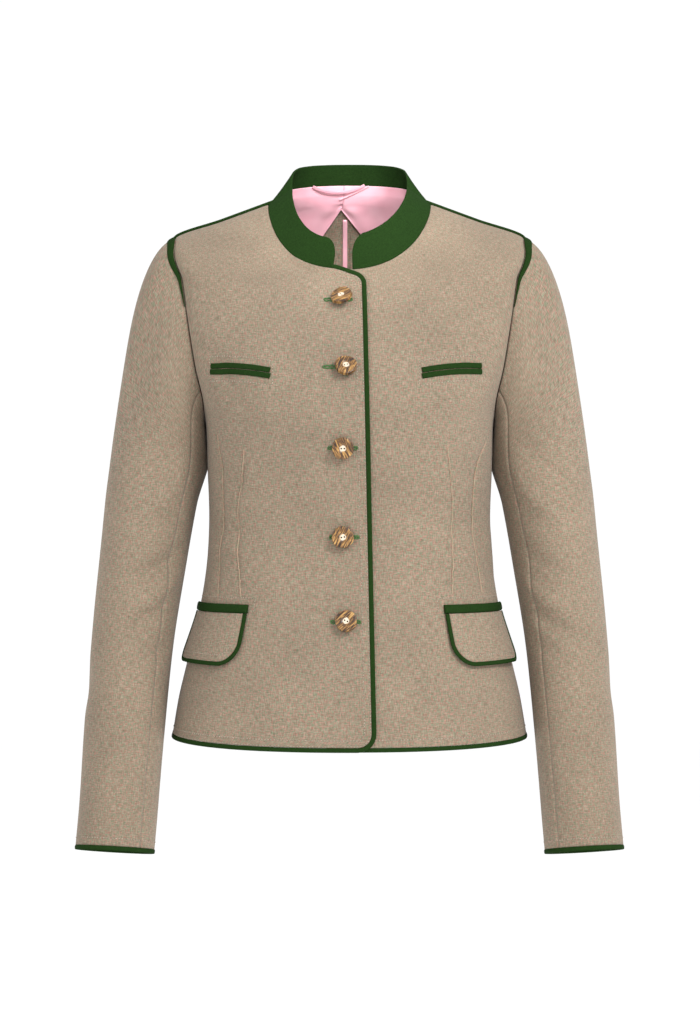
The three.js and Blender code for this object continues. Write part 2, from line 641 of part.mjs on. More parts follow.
const flapLift = (share, along) => CLEAR + 1.2 + FLAP_SHAPE.standOff * share ** 1.4 * (0.35 + 0.65 * along);

for (const [side, mark] of [["right", -1], ["left", 1]]) {
  const place = hipPlaces(mark);
  const { width, strip: tall, flap } = HIP_POCKET;
  const stripRows = [tall - CLEAR, tall / 2, 0].map((down) =>
    steps(0, width, 10).map((s) => place(s, down, CLEAR)));
  patch(`hip_welt_${side}`, stripRows, TRIM + 0.9, "felt");

  const { innerRound, outerRound, slant } = FLAP_SHAPE;
  const round = (r, d) => (d >= r ? 0 : r - Math.sqrt(Math.max(0, r * r - (r - d) ** 2)));
  const heights = [0, 0.2, 0.4, 0.58, 0.72, 0.83, 0.91, 0.965, 1];
  const edges = heights.map((h) => {
    const up = flap * (1 - h);
    const from = FLAP_PIPING + slant * h + round(innerRound, up);
    return { from, to: width - FLAP_PIPING - round(outerRound, up), h };
  });
  const columns = steps(0, 1, 10);
  const rows = edges.map(({ from, to, h }) => columns.map((u) => {
    const along = lerp(from, to, u);
    return place(along, tall + CLEAR + flap * h, flapLift(h, along / width));
  }));
  patch(`flap_${side}`, rows, WALL, "linen");

  const last = rows.length - 1;
  const border = [
    ...rows.map((row) => row[0]),
    ...rows[last].slice(1, -1),
    ...rows.map((row) => row[columns.length - 1]).reverse(),
  ];
  const points = border.map(({ t, at, lift }) => overTorso(t, at, lift + WALL));
  const normals = border.map(({ t, at }) => torsoNormal(t, at));
  if (mark > 0) for (const list of [points, normals]) list.reverse();
  const stations = stationsAlong(points, normals);
  const across = { from: CLEAR, to: FLAP_PIPING, low: -WALL + 0.1, high: 0.5 };
  add(`flap_piping_${side}`, strip(stations, across), "felt");
}

// ---------------------------------------------------------------- buttons

const wasm = await Module();
wasm.setup();

// A closed three.js geometry as a manifold-3d solid, and back.
function toManifold(geometry) {
  const flat = geometry.index ? geometry.toNonIndexed() : geometry;
  const position = flat.getAttribute("position");
  const seen = new Map();
  const points = [];
  const triVerts = new Uint32Array(position.count);
  for (let i = 0; i < position.count; i++) {
    const p = [position.getX(i), position.getY(i), position.getZ(i)];
    const key = p.map((value) => Math.round(value * 1e4)).join();
    if (!seen.has(key)) {
      seen.set(key, points.length / 3);
      points.push(...p);
    }
    triVerts[i] = seen.get(key);
  }
  const kept = [];
  for (let i = 0; i < triVerts.length; i += 3) {
    const [a, b, c] = triVerts.subarray(i, i + 3);
    if (a !== b && b !== c && a !== c) kept.push(a, b, c);
  }
  const mesh = new wasm.Mesh({
    numProp: 3,
    vertProperties: new Float32Array(points),
    triVerts: new Uint32Array(kept),
  });
  return new wasm.Manifold(mesh);
}

function fromManifold(made) {
  const mesh = made.getMesh();
  const geometry = new THREE.BufferGeometry();
  geometry.setAttribute("position", new THREE.BufferAttribute(mesh.vertProperties, 3));
  geometry.setIndex(new THREE.BufferAttribute(mesh.triVerts, 1));
  geometry.computeVertexNormals();
  return geometry;
}

// A slice of antler with a dished middle and two thread holes, its axis along Z and its back at z = 0.
function buttonGeometry() {
  const { radius, thick, dish, dishDeep, hole, holeApart } = BUTTON;
  const profile = [
    [0, 0], [radius * 0.86, 0], [radius, 1.3], [radius, thick - 1.1], [radius * 0.88, thick],
    [dish, thick], [dish * 0.7, thick - dishDeep], [0, thick - dishDeep],
  ].map(([x, y]) => new THREE.Vector2(x, y));
  const disc = new THREE.LatheGeometry(profile, 16).rotateX(Math.PI / 2);
  let button = toManifold(disc);
  for (const side of [-1, 1]) {
    const drill = new THREE.CylinderGeometry(hole, hole, thick * 3, 8).rotateX(Math.PI / 2);
    button = button.subtract(toManifold(drill.translate((side * holeApart) / 2, 0, 0)));
  }
  return fromManifold(button);
}

BUTTONS.forEach(({ x, z, tipUp, tipSide, spin }, i) => {
  const { t, at } = seenFromFront(x, z);
  const tip = Math.hypot(tipUp, tipSide);
  const stand = LAP + BUTTON.shank + BUTTON.radius * Math.sin(degToRad(tip)) * 0.8;
  const mesh = add(`button_${i + 1}`, buttonGeometry(), "antler");
  const normal = torsoNormal(t, at);
  mesh.position.copy(overTorso(t, at, stand));
  const face = new THREE.Quaternion().setFromUnitVectors(vec(0, 0, 1), normal);
  const tipped = new THREE.Quaternion().setFromEuler(
    new THREE.Euler(degToRad(-tipUp), 0, degToRad(tipSide), "XYZ"),
  );
  const turned = new THREE.Quaternion().setFromAxisAngle(vec(0, 0, 1), degToRad(spin));
  mesh.quaternion.copy(tipped.multiply(face).multiply(turned));
});

// ---------------------------------------------------------------- inside the back

// Place on the back at x and height z, as seen from the front through the neck.
function seenOnBack(x, z) {
  let [t, at] = [Math.PI - x / 110, z];
  for (let i = 0; i < 14; i++) {
    const here = torsoPoint(t, at);
    const byT = torsoPoint(t + 0.002, at).sub(here).divideScalar(0.002);
    const byAt = torsoPoint(t, at + 0.2).sub(here).divideScalar(0.2);
    const det = byT.x * byAt.z - byAt.x * byT.z;
    const [dx, dz] = [x - here.x, z - here.z];
    t += (dx * byAt.z - dz * byAt.x) / det;
    at += (dz * byT.x - dx * byT.z) / det;
  }
  return { t, at };
}

// Half lining: from the neck seam down to an edge that falls from the middle towards the armhole.
for (const [side, mark] of [["right", -1], ["left", 1]]) {
  const apexShift = LINING.apexX + mark * SEAM * 1.3;
  const columns = steps(0, 1, 9);
  const rows = steps(0, 1, 7);
  const lowEdge = (u) => {
    const x = lerp(apexShift, mark * LINING.sideX, u);
    return seenOnBack(x, lerp(LINING.apexZ, LINING.sideZ, 1 - (1 - u) ** LINING.steep));
  };
  const highEdge = (u) => {
    const start = seenOnBack(apexShift, 0).t;
    const end = Math.PI - mark * degToRad(80);
    return { t: lerp(start, end, u), at: NECK_AT - 0.8 };
  };
  const forwardAt = (u, v) => -mark * degToRad(LINING.forward) * u * v ** 5; // rounds the neck's side
  const onBack = (depth) => rows.map((v) => columns.map((u) => {
    const [low, high] = [lowEdge(u), highEdge(u)];
    const t = lerp(low.t, high.t, v) + forwardAt(u, v);
    return overTorso(t, lerp(low.at, high.at, v), -WALL - LINING.gap - depth);
  }));
  const onCollar = (depth) => [0.4, 0.7, 1].map((share) => columns.map((u) =>
    overCollar(highEdge(u).t + forwardAt(u, 1), LINING.onCollar * share, -FELT - LINING.gap - depth)));
  const make = (depth) => [...onBack(depth), ...onCollar(depth)];
  add(`lining_${side}`, wall(make(0), make(SATIN)), "satin");
}

// Hanger loop: a tape that hangs in a shallow curve between its two sewn ends, clear of the lining.
{
  const { halfLength, width, thick, sag, x, high, standOff } = HANGER;
  const depth = FELT + LINING.gap + SATIN + CLEAR;
  const places = steps(-1, 1, 14).map((u) => {
    const t = Math.PI - Math.asin((x + halfLength * u) / COLLAR_TOP.W);
    return { t, v: high - sag * (1 - u * u), away: 1 - u ** 4 };
  });
  const points = places.map(({ t, v, away }) => overCollar(t, v, -depth - standOff * away));
  const normals = places.map(({ t, v }) => normalOf(collarPoint, t, v, 0.02, 0.02, -1));
  const across = { from: -width / 2, to: width / 2, low: 0, high: thick };
  add("hanger_loop", strip(stationsAlong(points, normals), across), "satin");
}

// Binding on the turning of the centre back seam, down the inside to the hem.
{
  const top = seenOnBack(BINDING.from, BINDING.topZ).at;
  const make = (depth) => steps(BINDING.bottomAt, top, 22).map((at) =>
    [BINDING.from, BINDING.to].map((x) =>
      overTorso(Math.PI - x / torsoRing(at).W, at, -WALL - BINDING.clear - depth)));
  add("back_seam_binding", wall(make(0), make(0.9)), "satin");
}

export default jacket;
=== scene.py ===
"""A woman's linen jacket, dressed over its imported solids.

Every cloth piece is a thin shell on the form of its solid. The forms are worked out from the same named
sizes as the solids, in millimetres, and become metres when a mesh is made.
"""

import logging
import math
from dataclasses import dataclass, field
from enum import Enum
from typing import Sequence

import bpy
import numpy as np
from mathutils import Matrix, Vector
from mathutils.bvhtree import BVHTree


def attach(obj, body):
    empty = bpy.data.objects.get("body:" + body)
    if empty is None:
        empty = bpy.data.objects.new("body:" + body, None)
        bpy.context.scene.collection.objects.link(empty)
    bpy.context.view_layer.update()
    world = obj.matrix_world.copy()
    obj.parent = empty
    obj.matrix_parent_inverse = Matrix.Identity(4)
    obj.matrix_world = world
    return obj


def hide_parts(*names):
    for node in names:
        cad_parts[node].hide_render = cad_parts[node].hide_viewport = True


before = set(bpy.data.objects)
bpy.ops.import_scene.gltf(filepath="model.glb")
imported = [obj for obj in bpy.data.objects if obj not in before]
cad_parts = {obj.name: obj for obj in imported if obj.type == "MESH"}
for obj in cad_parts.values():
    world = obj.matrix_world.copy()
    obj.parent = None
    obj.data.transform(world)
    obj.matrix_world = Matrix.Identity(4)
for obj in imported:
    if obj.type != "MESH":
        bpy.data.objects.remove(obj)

LOG = logging.getLogger("jacket")
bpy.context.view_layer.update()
MM = 0.001  # metres in a millimetre
Array = np.ndarray
Place = tuple[Array, Array]  # ring angle and height, or any other pair of surface coordinates


# ---------------------------------------------------------------- sizes shared with the solids, in mm

WALL = 1.5  # linen with its interlining
FELT = 2.1  # collar felt, doubled
SATIN = 0.9
HEM_AT, UNDERARM_AT, SHOULDER_AT, NECK_AT = -548.5, -221.0, -35.0, 0.0
LAP, LAP_FROM, LAP_TO = 2.7, -64.0, -30.0
CENTRE_X = -3.4
EDGE_TOP_X, EDGE_BOTTOM_X, NECK_ROUND, HEM_ROUND = 12.2, 22.2, 9.0, 14.0
UNDERLAP_X = -24.0
DIP_DROP, DIP_FROM, DIP_TO, DIP_HEIGHT = 12.0, -19.0, 14.0, 70.0
RISE = 1.35
PIPING_WIDTH = 4.8
EDGE_STITCHES, HEM_STITCHES = (1.0, 7.0), 7.5  # how far the topstitching runs from each edge
HEM_PIPING_ACROSS, HEM_PIPING_HIGH = (0.05, 4.6), (-WALL - 0.1, 0.65)  # below the edge, and about its face


# ---------------------------------------------------------------- forms


def smoothstep(x: Array, low: float, high: float) -> Array:
    """Eased share of the way from low to high."""
    s = np.clip((x - low) / (high - low), 0, 1)
    return s * s * (3 - 2 * s)


def lerp(a: Array, b: Array, s: Array) -> Array:
    """Value at share s of the way from a to b."""
    return a + (b - a) * s


def unit(v: Array) -> Array:
    """Vectors of length one in the same directions."""
    return v / np.maximum(np.linalg.norm(v, axis=-1, keepdims=True), 1e-12)


class RingTable:
    """Rings at given heights, with a smooth curve through each column."""

    def __init__(self, columns: str, rows: Sequence[Sequence[float]]) -> None:
        """Keeps the rows in the order of their heights.

        Args:
            columns: names of the columns, the first being the height.
            rows: one row of numbers for each ring.
        """
        self.names = columns.split()[1:]
        table = np.array(sorted(rows), float)
        self.heights, self.values = table[:, 0], table[:, 1:]
        ahead, behind = np.r_[1 : len(table), len(table) - 1], np.r_[0, 0 : len(table) - 1]
        rise = (self.heights[ahead] - self.heights[behind])[:, None]
        self.slopes = (self.values[ahead] - self.values[behind]) / rise

    def at(self, height: Array) -> dict[str, Array]:
        """Every column at some heights.

        Args:
            height: heights in mm.

        Returns:
            The columns by name, and the heights themselves as "at".
        """
        height = np.asarray(height, float)
        i = np.clip(np.searchsorted(self.heights, height, "right") - 1, 0, len(self.heights) - 2)
        span = (self.heights[i + 1] - self.heights[i])[..., None]
        s = ((height - self.heights[i])[..., None]) / span
        out = (
            (1 + 2 * s) * (1 - s) ** 2 * self.values[i]
            + s * (1 - s) ** 2 * span * self.slopes[i]
            + s * s * (3 - 2 * s) * self.values[i + 1]
            + s * s * (s - 1) * span * self.slopes[i + 1]
        )
        return {"at": height, **{n: out[..., k] for k, n in enumerate(self.names)}}


TORSO_RINGS = RingTable(
    "at W F B nF nB zF zB skew",
    [
        (-556, 184.6, 131, 118, 2.3, 2.3, -563, -556, 0),
        (-511, 177.0, 128, 115, 2.3, 2.3, -516, -511, 0),
        (-479, 169.5, 124, 111, 2.3, 2.3, -482, -479, 0),
        (-417, 155.0, 115, 100, 2.3, 2.3, -418, -417, 0),
        (-370, 147.7, 108, 90, 2.3, 2.3, -370, -370, 0),
        (-323, 145.8, 110, 87, 2.35, 2.3, -323, -323, 0),
        (-277, 147.5, 121, 91, 2.45, 2.35, -277, -277, 0),
        (-221, 150.5, 129, 98, 2.55, 2.4, -225, -221, 0),
        (-165, 167.0, 121, 101, 2.6, 2.5, -186, -163, 0),
        (-110, 176.5, 106, 98, 2.6, 2.5, -150, -106, 0),
        (-65, 180.2, 90, 89, 2.5, 2.4, -121, -60, 0),
        (-35, 180.4, 79, 79, 2.4, 2.3, -101, -30, 0),
        (-18, 133.0, 71, 66, 2.4, 2.3, -87, -10, 0.03),
        (0, 84.0, 64, 53, 2.4, 2.2, -73, 9, 0.06),
    ],
)
SLEEVE_RINGS = RingTable(
    "at x y w d lean tilt",
    [
        (-277, -200.2, 1, 49.4, 55, 0, 0),
        (-308, -205.6, 0, 48.1, 54, 0.4, 0.3),
        (-370, -214.5, -4, 45.2, 52, 1.0, 2),
        (-432, -222.3, -10, 43.0, 49, 1.6, 4),
        (-494, -228.0, -18, 41.9, 47, 2.0, 5.5),
        (-555, -232.7, -27, 41.0, 45.5, 2.3, 6.5),
        (-616, -236.9, -36, 40.6, 44.5, 2.3, 6.5),
        (-664, -240.5, -42, 40.3, 44, 2.3, 6.5),
    ],
)
COLLAR_TOP = {
    "at": 17.0, "W": 60.0, "F": 60.0, "B": 51.0, "nF": 2.5, "nB": 2.2,
    "zF": -39.0, "zB": 46.5, "skew": 0.17, "y": -4.0, "riseB": 0.35,
}


class Form:
    """A surface that two coordinates reach, with its outward normals."""

    steps = (0.01, 0.8)
    turn = 1.0

    def point(self, a: Array, b: Array) -> Array:
        """Points of the surface."""
        raise NotImplementedError

    def normal(self, a: Array, b: Array) -> Array:
        """Outward normals at those points.

        Args:
            a: first surface coordinate.
            b: second surface coordinate.

        Returns:
            The normals.
        """
        da, db = self.steps
        along_a = self.point(a + da, b) - self.point(a - da, b)
        along_b = self.point(a, b + db) - self.point(a, b - db)
        return unit(np.cross(along_a, along_b)) * self.turn

    def over(self, a: Array, b: Array, lift: Array | float) -> Array:
        """Points that stand off the surface by lift."""
        lift = np.broadcast_to(lift, np.broadcast(a, b).shape)
        return self.point(a, b) + self.normal(a, b) * lift[..., None]


def on_ring(ring: dict[str, Array], t: Array) -> Array:
    """Points of rings at angle t: 0 the centre front, 90 degrees the left side, 180 the centre back.

    Args:
        ring: columns of the rings.
        t: ring angles.

    Returns:
        The points, in mm.
    """
    s, c = np.sin(t), np.cos(t)
    front = c >= 0
    depth = np.where(front, ring["F"], ring["B"])
    n = np.where(front, ring["nF"], ring["nB"])
    q = (np.abs(s) ** n + np.abs(c) ** n) ** (-1 / n)
    share = np.minimum(1, np.abs(c) * q)
    rise = np.where(front, RISE, ring.get("riseB", RISE))
    x = ring["W"] * s * q
    z = ring["at"] + (np.where(front, ring["zF"], ring["zB"]) - ring["at"]) * share**rise
    z = z + np.where(front, ring["skew"] * x * share, 0)
    return np.stack(np.broadcast_arrays(x, -depth * c * q + ring.get("y", 0), z), -1)


class Torso(Form):
    """The body of the jacket: ring angle and height at the side."""

    def point(self, a: Array, b: Array) -> Array:
        """Points of the body."""
        return on_ring(TORSO_RINGS.at(b), a)

    def angle_at_x(self, x: Array, at: Array) -> Array:
        """Ring angles, near the centre front, of the points at some x.

        Args:
            x: places across.
            at: heights.

        Returns:
            The angles.
        """
        t = np.zeros_like(at)
        for _ in range(6):
            t = t + (x - self.point(t, at)[..., 0]) / TORSO_RINGS.at(at)["W"]
        return t

    def seen(self, x: Array, z: Array, back: bool = False) -> Place:
        """Ring angles and heights of the points that show at x and z from the front.

        Args:
            x: places across.
            z: places up.
            back: whether they are on the back, seen through the neck.

        Returns:
            The two surface coordinates.
        """
        x, z = np.broadcast_arrays(np.asarray(x, float), np.asarray(z, float))
        t, at = (math.pi - x / 110 if back else x / 150), z.copy()
        for _ in range(14):
            here = self.point(t, at)
            by_t = (self.point(t + 0.002, at) - here) / 0.002
            by_at = (self.point(t, at + 0.2) - here) / 0.2
            det = by_t[..., 0] * by_at[..., 2] - by_at[..., 0] * by_t[..., 2]
            dx, dz = x - here[..., 0], z - here[..., 2]
            t = t + (dx * by_at[..., 2] - dz * by_at[..., 0]) / det
            at = at + (dz * by_t[..., 0] - dx * by_t[..., 2]) / det
        return t, at


TORSO = Torso()


def armhole(turn: Array, front: Array) -> Place:
    """Armhole line of the left side: turn 0 is the underarm, 1 the shoulder.

    Args:
        turn: share of the way up.
        front: whether it is the front half.

    Returns:
        The ring angles and heights.
    """
    angle = math.pi * np.asarray(turn, float)
    reach = np.where(front, 27.5, -21.0) * np.abs(np.sin(angle)) ** 0.55
    at = lerp(UNDERARM_AT, SHOULDER_AT, (1 - np.cos(angle)) / 2)
    return math.pi / 2 - np.radians(reach), at


class Sleeve(Form):
    """A sleeve of the right arm: angle round it, and how far down it is.

    Down runs from 1 at the armhole to 0 at the first ring, and goes on below 0 in mm.
    """

    turn = -1.0
    first, last = -277.0, -664.0
    start = {"outer": (-136, 0, -30), "inner": (-16, 0, -60), "front": (-78, -22, -62)}
    arrive = {"outer": (-31, 0, -230), "inner": (-9, 0, -50), "front": (-26, -4, -150)}

    def ring_point(self, a: Array, at: Array) -> Array:
        """Points of the rings below the cap.

        Args:
            a: angles round the sleeve.
            at: distances down the sleeve.

        Returns:
            The points, in mm.
        """
        ring = SLEEVE_RINGS.at(at)
        inner, front = np.cos(a), np.sin(a)
        parts = (
            ring["x"] + ring["w"] * inner,
            ring["y"] - ring["d"] * front,
            at - ring["lean"] * inner + ring["tilt"] * front,
        )
        return np.stack(np.broadcast_arrays(*parts), -1)

    def direction(self, table: dict[str, tuple], a: Array) -> Array:
        """Direction of the cap where it leaves the armhole, or where it arrives at the first ring.

        Args:
            table: columns of the directions.
            a: angles round the sleeve.

        Returns:
            The directions.
        """
        inner, front = np.cos(a)[..., None], np.sin(a)[..., None]
        across = np.where(inner < 0, np.array(table["outer"], float), np.array(table["inner"], float))
        side = np.array(table["front"], float) * np.where(front < 0, [1, -1, 1], [1, 1, 1])
        return across * inner**2 + side * front**2

    def edge(self, a: Array) -> Array:
        """Points of the armhole that the sleeve is sewn into.

        Args:
            a: angles round the sleeve.

        Returns:
            The points, in mm.
        """
        turned = np.mod(a, 2 * math.pi)
        front = turned <= math.pi
        t, at = armhole(np.where(front, turned / math.pi, 2 - turned / math.pi), front)
        return TORSO.point(t, at) * np.array([-1, 1, 1])

    def point(self, a: Array, b: Array) -> Array:
        """Points of the sleeve.

        Args:
            a: angles round the sleeve.
            b: 1 at the armhole, 0 at the first ring, then mm down the sleeve.

        Returns:
            The points, in mm.
        """
        a, b = np.broadcast_arrays(np.asarray(a, float), np.asarray(b, float))
        s = np.clip(1 - b, None, 1)[..., None]
        ring0 = self.ring_point(a, np.full_like(b, self.first))
        cap = (
            self.edge(a) * (1 + 2 * s) * (1 - s) ** 2
            + self.direction(self.start, a) * s * (1 - s) ** 2
            + ring0 * s * s * (3 - 2 * s)
            + self.direction(self.arrive, a) * s * s * (s - 1)
        )
        arm = self.ring_point(a, self.first + np.minimum(b, 0))
        return np.where((b > 0)[..., None], cap, arm)

    def normal(self, a: Array, b: Array) -> Array:
        """Outward normals, with a step that stays on its own side of the first ring.

        Args:
            a: angles round the sleeve.
            b: places down the sleeve, as for its points.

        Returns:
            The normals.
        """
        a, b = np.broadcast_arrays(np.asarray(a, float), np.asarray(b, float))
        step = np.where(b > 0, 0.004, 0.5)
        high, low = np.where(b > 0, b + step, np.minimum(b + step, 0)), b - step
        low = np.where(b > 0, np.maximum(low, 1e-6), low)
        high = np.where((b <= 0) & (high <= low), low + step, high)
        along_a = self.point(a + 0.02, b) - self.point(a - 0.02, b)
        along_b = self.point(a, high) - self.point(a, low)
        return unit(np.cross(along_a, along_b)) * self.turn


SLEEVE = Sleeve()


class Collar(Form):
    """The stand collar: angle round the neck, and share of its height."""

    steps = (0.02, 0.02)
    hollow = 0.5

    def point(self, a: Array, b: Array) -> Array:
        """Points of the collar.

        Args:
            a: ring angles.
            b: share of the height of the stand.

        Returns:
            The points, in mm.
        """
        a, b = np.broadcast_arrays(np.asarray(a, float), np.asarray(b, float))
        base = TORSO.point(a, np.full_like(a, NECK_AT))
        top = on_ring(COLLAR_TOP, a)
        along = np.stack([np.cos(a), np.sin(a), np.zeros_like(a)], -1)
        out = unit(np.cross(top - base, along))
        bend = self.hollow * np.sin(a) ** 2 * 4 * b * (1 - b)
        return lerp(base, top, b[..., None]) + out * bend[..., None]


COLLAR = Collar()


# ---------------------------------------------------------------- folds worked into the cloth


@dataclass(frozen=True)
class Fold:
    """A soft trough (depth below zero) or ridge along a line of the cloth, in mm."""

    x0: float
    z0: float
    x1: float
    z1: float
    width: float
    depth: float
    bow: float = 0.0

    def lift(self, x: Array, z: Array) -> Array:
        """How far the fold moves the cloth out at (x, z).

        Args:
            x: places across.
            z: places up.

        Returns:
            The lift, in mm.
        """
        dx, dz = self.x1 - self.x0, self.z1 - self.z0
        length = math.hypot(dx, dz)
        s = ((x - self.x0) * dx + (z - self.z0) * dz) / length**2
        away = ((x - self.x0) * dz - (z - self.z0) * dx) / length
        inside = np.clip(s, 0, 1)
        away = away - self.bow * 4 * inside * (1 - inside)
        fade = smoothstep(s, -0.12, 0.3) * (1 - smoothstep(s, 0.65, 1.12))
        return 1.5 * self.depth * fade * np.exp(-((away / self.width) ** 2))


FRONT_FOLDS = [
    # x0, z0, x1, z1, width, depth, bow: under the collar, from the armholes, at the waist, over the pockets
    Fold(-66, -58, -14, -84, 7, -1.5, 4),
    Fold(-70, -70, -22, -97, 9, 0.7, 4),
    Fold(24, -84, 62, -64, 8, -0.9, -3),
    Fold(-152, -150, -116, -206, 11, -1.8, -6),
    Fold(-146, -178, -122, -238, 9, 1.0, -4),
    Fold(150, -146, 116, -200, 12, -1.6, 6),
    Fold(146, -180, 124, -236, 9, 0.9, 4),
    Fold(-143, -262, -104, -296, 10, -1.1, 3),
    Fold(143, -258, 108, -290, 10, -1.0, -3),
    Fold(-142, -322, -88, -346, 11, -1.3, 4),
    Fold(-142, -352, -96, -366, 9, 0.8, 3),
    Fold(141, -318, 92, -340, 11, -1.2, -4),
    Fold(128, -332, 146, -392, 6, -1.6, 2),
    Fold(140, -336, 150, -390, 6, 0.8, 2),
    Fold(-60, -330, -18, -350, 12, -0.9, 2),
    Fold(-48, -246, -16, -258, 9, -0.7, 0),
    Fold(-50, -338, -18, -346, 8, 0.5, 0),
    Fold(30, -300, 80, -330, 16, -0.8, 0),
    Fold(-80, -480, -66, -545, 18, 1.5, 0),
    Fold(-112, -478, -106, -545, 16, -1.4, 0),
    Fold(92, -474, 98, -545, 18, 1.4, 0),
    Fold(60, -470, 58, -545, 17, -1.1, 0),
    Fold(-36, -440, -34, -520, 18, -0.7, 0),
]
BACK_FOLDS = [
    Fold(-60, -70, 58, -78, 10, -1.0, 5),
    Fold(-148, -120, -104, -180, 12, -1.7, 6),
    Fold(150, -116, 108, -172, 12, -1.6, -6),
    Fold(-140, -180, -112, -250, 11, 1.1, 4),
    Fold(140, -176, 116, -246, 11, 1.0, -4),
    Fold(-132, -308, -34, -324, 10, -1.5, -5),
    Fold(-120, -334, -30, -346, 9, 1.0, -4),
    Fold(128, -312, 30, -330, 10, -1.4, 5),
    Fold(118, -342, 34, -352, 9, 0.9, 4),
    Fold(-70, -440, -76, -545, 20, 1.8, 0),
    Fold(-114, -450, -122, -545, 18, -1.5, 0),
    Fold(74, -440, 80, -545, 20, 1.7, 0),
    Fold(116, -452, 124, -545, 18, -1.4, 0),
    Fold(-22, -430, -26, -545, 17, -1.0, 0),
]
SLEEVE_FOLDS = [
    # across: degrees round the sleeve from its inner side; up: height in mm
    Fold(60, -246, 122, -300, 11, -1.6, 5),
    Fold(48, -276, 104, -334, 10, 1.0, 5),
    Fold(118, -160, 150, -240, 13, -1.0, 0),
    Fold(30, -356, 108, -392, 10, -1.8, 5),
    Fold(24, -382, 92, -420, 9, 1.2, 5),
    Fold(40, -414, 118, -444, 10, -1.5, 4),
    Fold(20, -452, 88, -476, 9, -1.0, 3),
    Fold(330, -352, 256, -392, 11, -1.8, -5),
    Fold(336, -386, 262, -420, 9, 1.2, -5),
    Fold(330, -420, 250, -448, 10, -1.4, -4),
    Fold(238, -236, 292, -300, 12, -1.6, -4),
    Fold(60, -560, 110, -590, 13, -0.9, 3),
    Fold(240, -540, 300, -572, 12, -0.9, -3),
    Fold(150, -480, 190, -520, 16, -0.8, 0),
]


def folded(folds: Sequence[Fold], x: Array, z: Array) -> Array:
    """How far all the folds and a slow, uneven ripple move the cloth out."""
    ripple = 0.22 * np.sin(x / 19 + 0.8 * np.sin(z / 47)) + 0.2 * np.sin(z / 31 + np.sin(x / 27))
    return ripple + sum(fold.lift(x, z) for fold in folds)


# ---------------------------------------------------------------- meshes


class Border(Enum):
    """The four borders of a grid of points."""

    LEFT = "left"
    RIGHT = "right"
    BOTTOM = "bottom"
    TOP = "top"


def lengths(points: Array, axis: int) -> Array:
    """Distance of every point of a grid from its first row or column, along the cloth.

    Args:
        points: the grid.
        axis: the way in which it is measured.

    Returns:
        The distances, in mm.
    """
    step = np.linalg.norm(np.diff(points, axis=axis), axis=-1)
    total = np.cumsum(step, axis=axis)
    first = np.zeros_like(np.take(total, [0], axis=axis))
    return np.concatenate([first, total], axis=axis)


def rolled(points: Array, borders: Sequence[Border], deep: float = 0.7, reach: float = 1.4) -> Array:
    """How far a cloth turns in at its sewn borders.

    Args:
        points: grid of points.
        borders: borders that are sewn.
        deep: fall at the seam.
        reach: how far from the seam the fall begins.

    Returns:
        The fall of each point, at most zero.
    """
    across, up = lengths(points, 1), lengths(points, 0)
    away = {
        Border.LEFT: across,
        Border.RIGHT: across[:, -1:] - across,
        Border.BOTTOM: up,
        Border.TOP: up[-1:] - up,
    }
    return -sum(deep * np.exp(-((away[b] / reach) ** 1.5)) for b in borders)


def mesh_object(
    name: str, points: Array, faces: Sequence[Sequence[int]], uv: Array | None = None,
) -> bpy.types.Object:
    """Makes a mesh object at the origin.

    Args:
        name: its name.
        points: its points, in mm.
        faces: its faces, as indices of points.
        uv: places on the cloth for each point, in mm.

    Returns:
        The object, shaded smooth.
    """
    mesh = bpy.data.meshes.new(name)
    mesh.from_pydata((points * MM).tolist(), [], [list(f) for f in faces])
    if uv is not None:
        layer = mesh.uv_layers.new(name="cloth")
        loops = np.zeros(len(mesh.loops), int)
        mesh.loops.foreach_get("vertex_index", loops)
        layer.data.foreach_set("uv", (uv[loops] * MM).ravel().astype(np.float32))
    mesh.update()
    mesh.shade_smooth()
    piece = bpy.data.objects.new(name, mesh)
    bpy.context.scene.collection.objects.link(piece)
    return piece


def grid_faces(rows: int, columns: int) -> Array:
    """Faces of a grid of points, row by row.

    Args:
        rows: points one way.
        columns: points the other way.

    Returns:
        Four point numbers to a face.
    """
    r, c = np.meshgrid(np.arange(rows - 1), np.arange(columns - 1), indexing="ij")
    a = (r * columns + c).ravel()
    return np.stack([a, a + 1, a + columns + 1, a + columns], 1)


def shell(name: str, outer: Array, inner: Array, uv: Array | None = None) -> bpy.types.Object:
    """Closed thin wall between two grids of points.

    Args:
        name: its name.
        outer: grid of the outer face.
        inner: grid of the inner face.
        uv: grid of places on the cloth, in mm.

    Returns:
        The wall, with faces that point out.
    """
    rows, columns = outer.shape[:2]
    layer = rows * columns
    faces = grid_faces(rows, columns)
    rim = np.concatenate([
        np.arange(columns - 1),
        np.arange(rows - 1) * columns + columns - 1,
        (rows - 1) * columns + np.arange(columns - 1, 0, -1),
        np.arange(rows - 1, 0, -1) * columns,
    ])
    ahead = np.roll(rim, -1)
    walls = np.stack([rim, rim + layer, ahead + layer, ahead], 1)
    all_faces = np.concatenate([faces, faces[:, ::-1] + layer, walls])
    points = np.concatenate([outer.reshape(-1, 3), inner.reshape(-1, 3)])
    if signed_volume(points, all_faces) < 0:
        all_faces = all_faces[:, ::-1]
    places = None if uv is None else np.concatenate([uv.reshape(-1, 2)] * 2)
    return mesh_object(name, points, all_faces, places)


def signed_volume(points: Array, faces: Array) -> float:
    """Volume that four-sided faces enclose, below zero if they point inwards.

    Args:
        points: the points, in mm.
        faces: four point numbers to a face.

    Returns:
        The volume, in cubic mm.
    """
    a, b, c, d = (points[faces[:, k]] for k in range(4))
    first = np.einsum("ij,ij->i", a, np.cross(b, c))
    return float((first + np.einsum("ij,ij->i", a, np.cross(c, d))).sum())


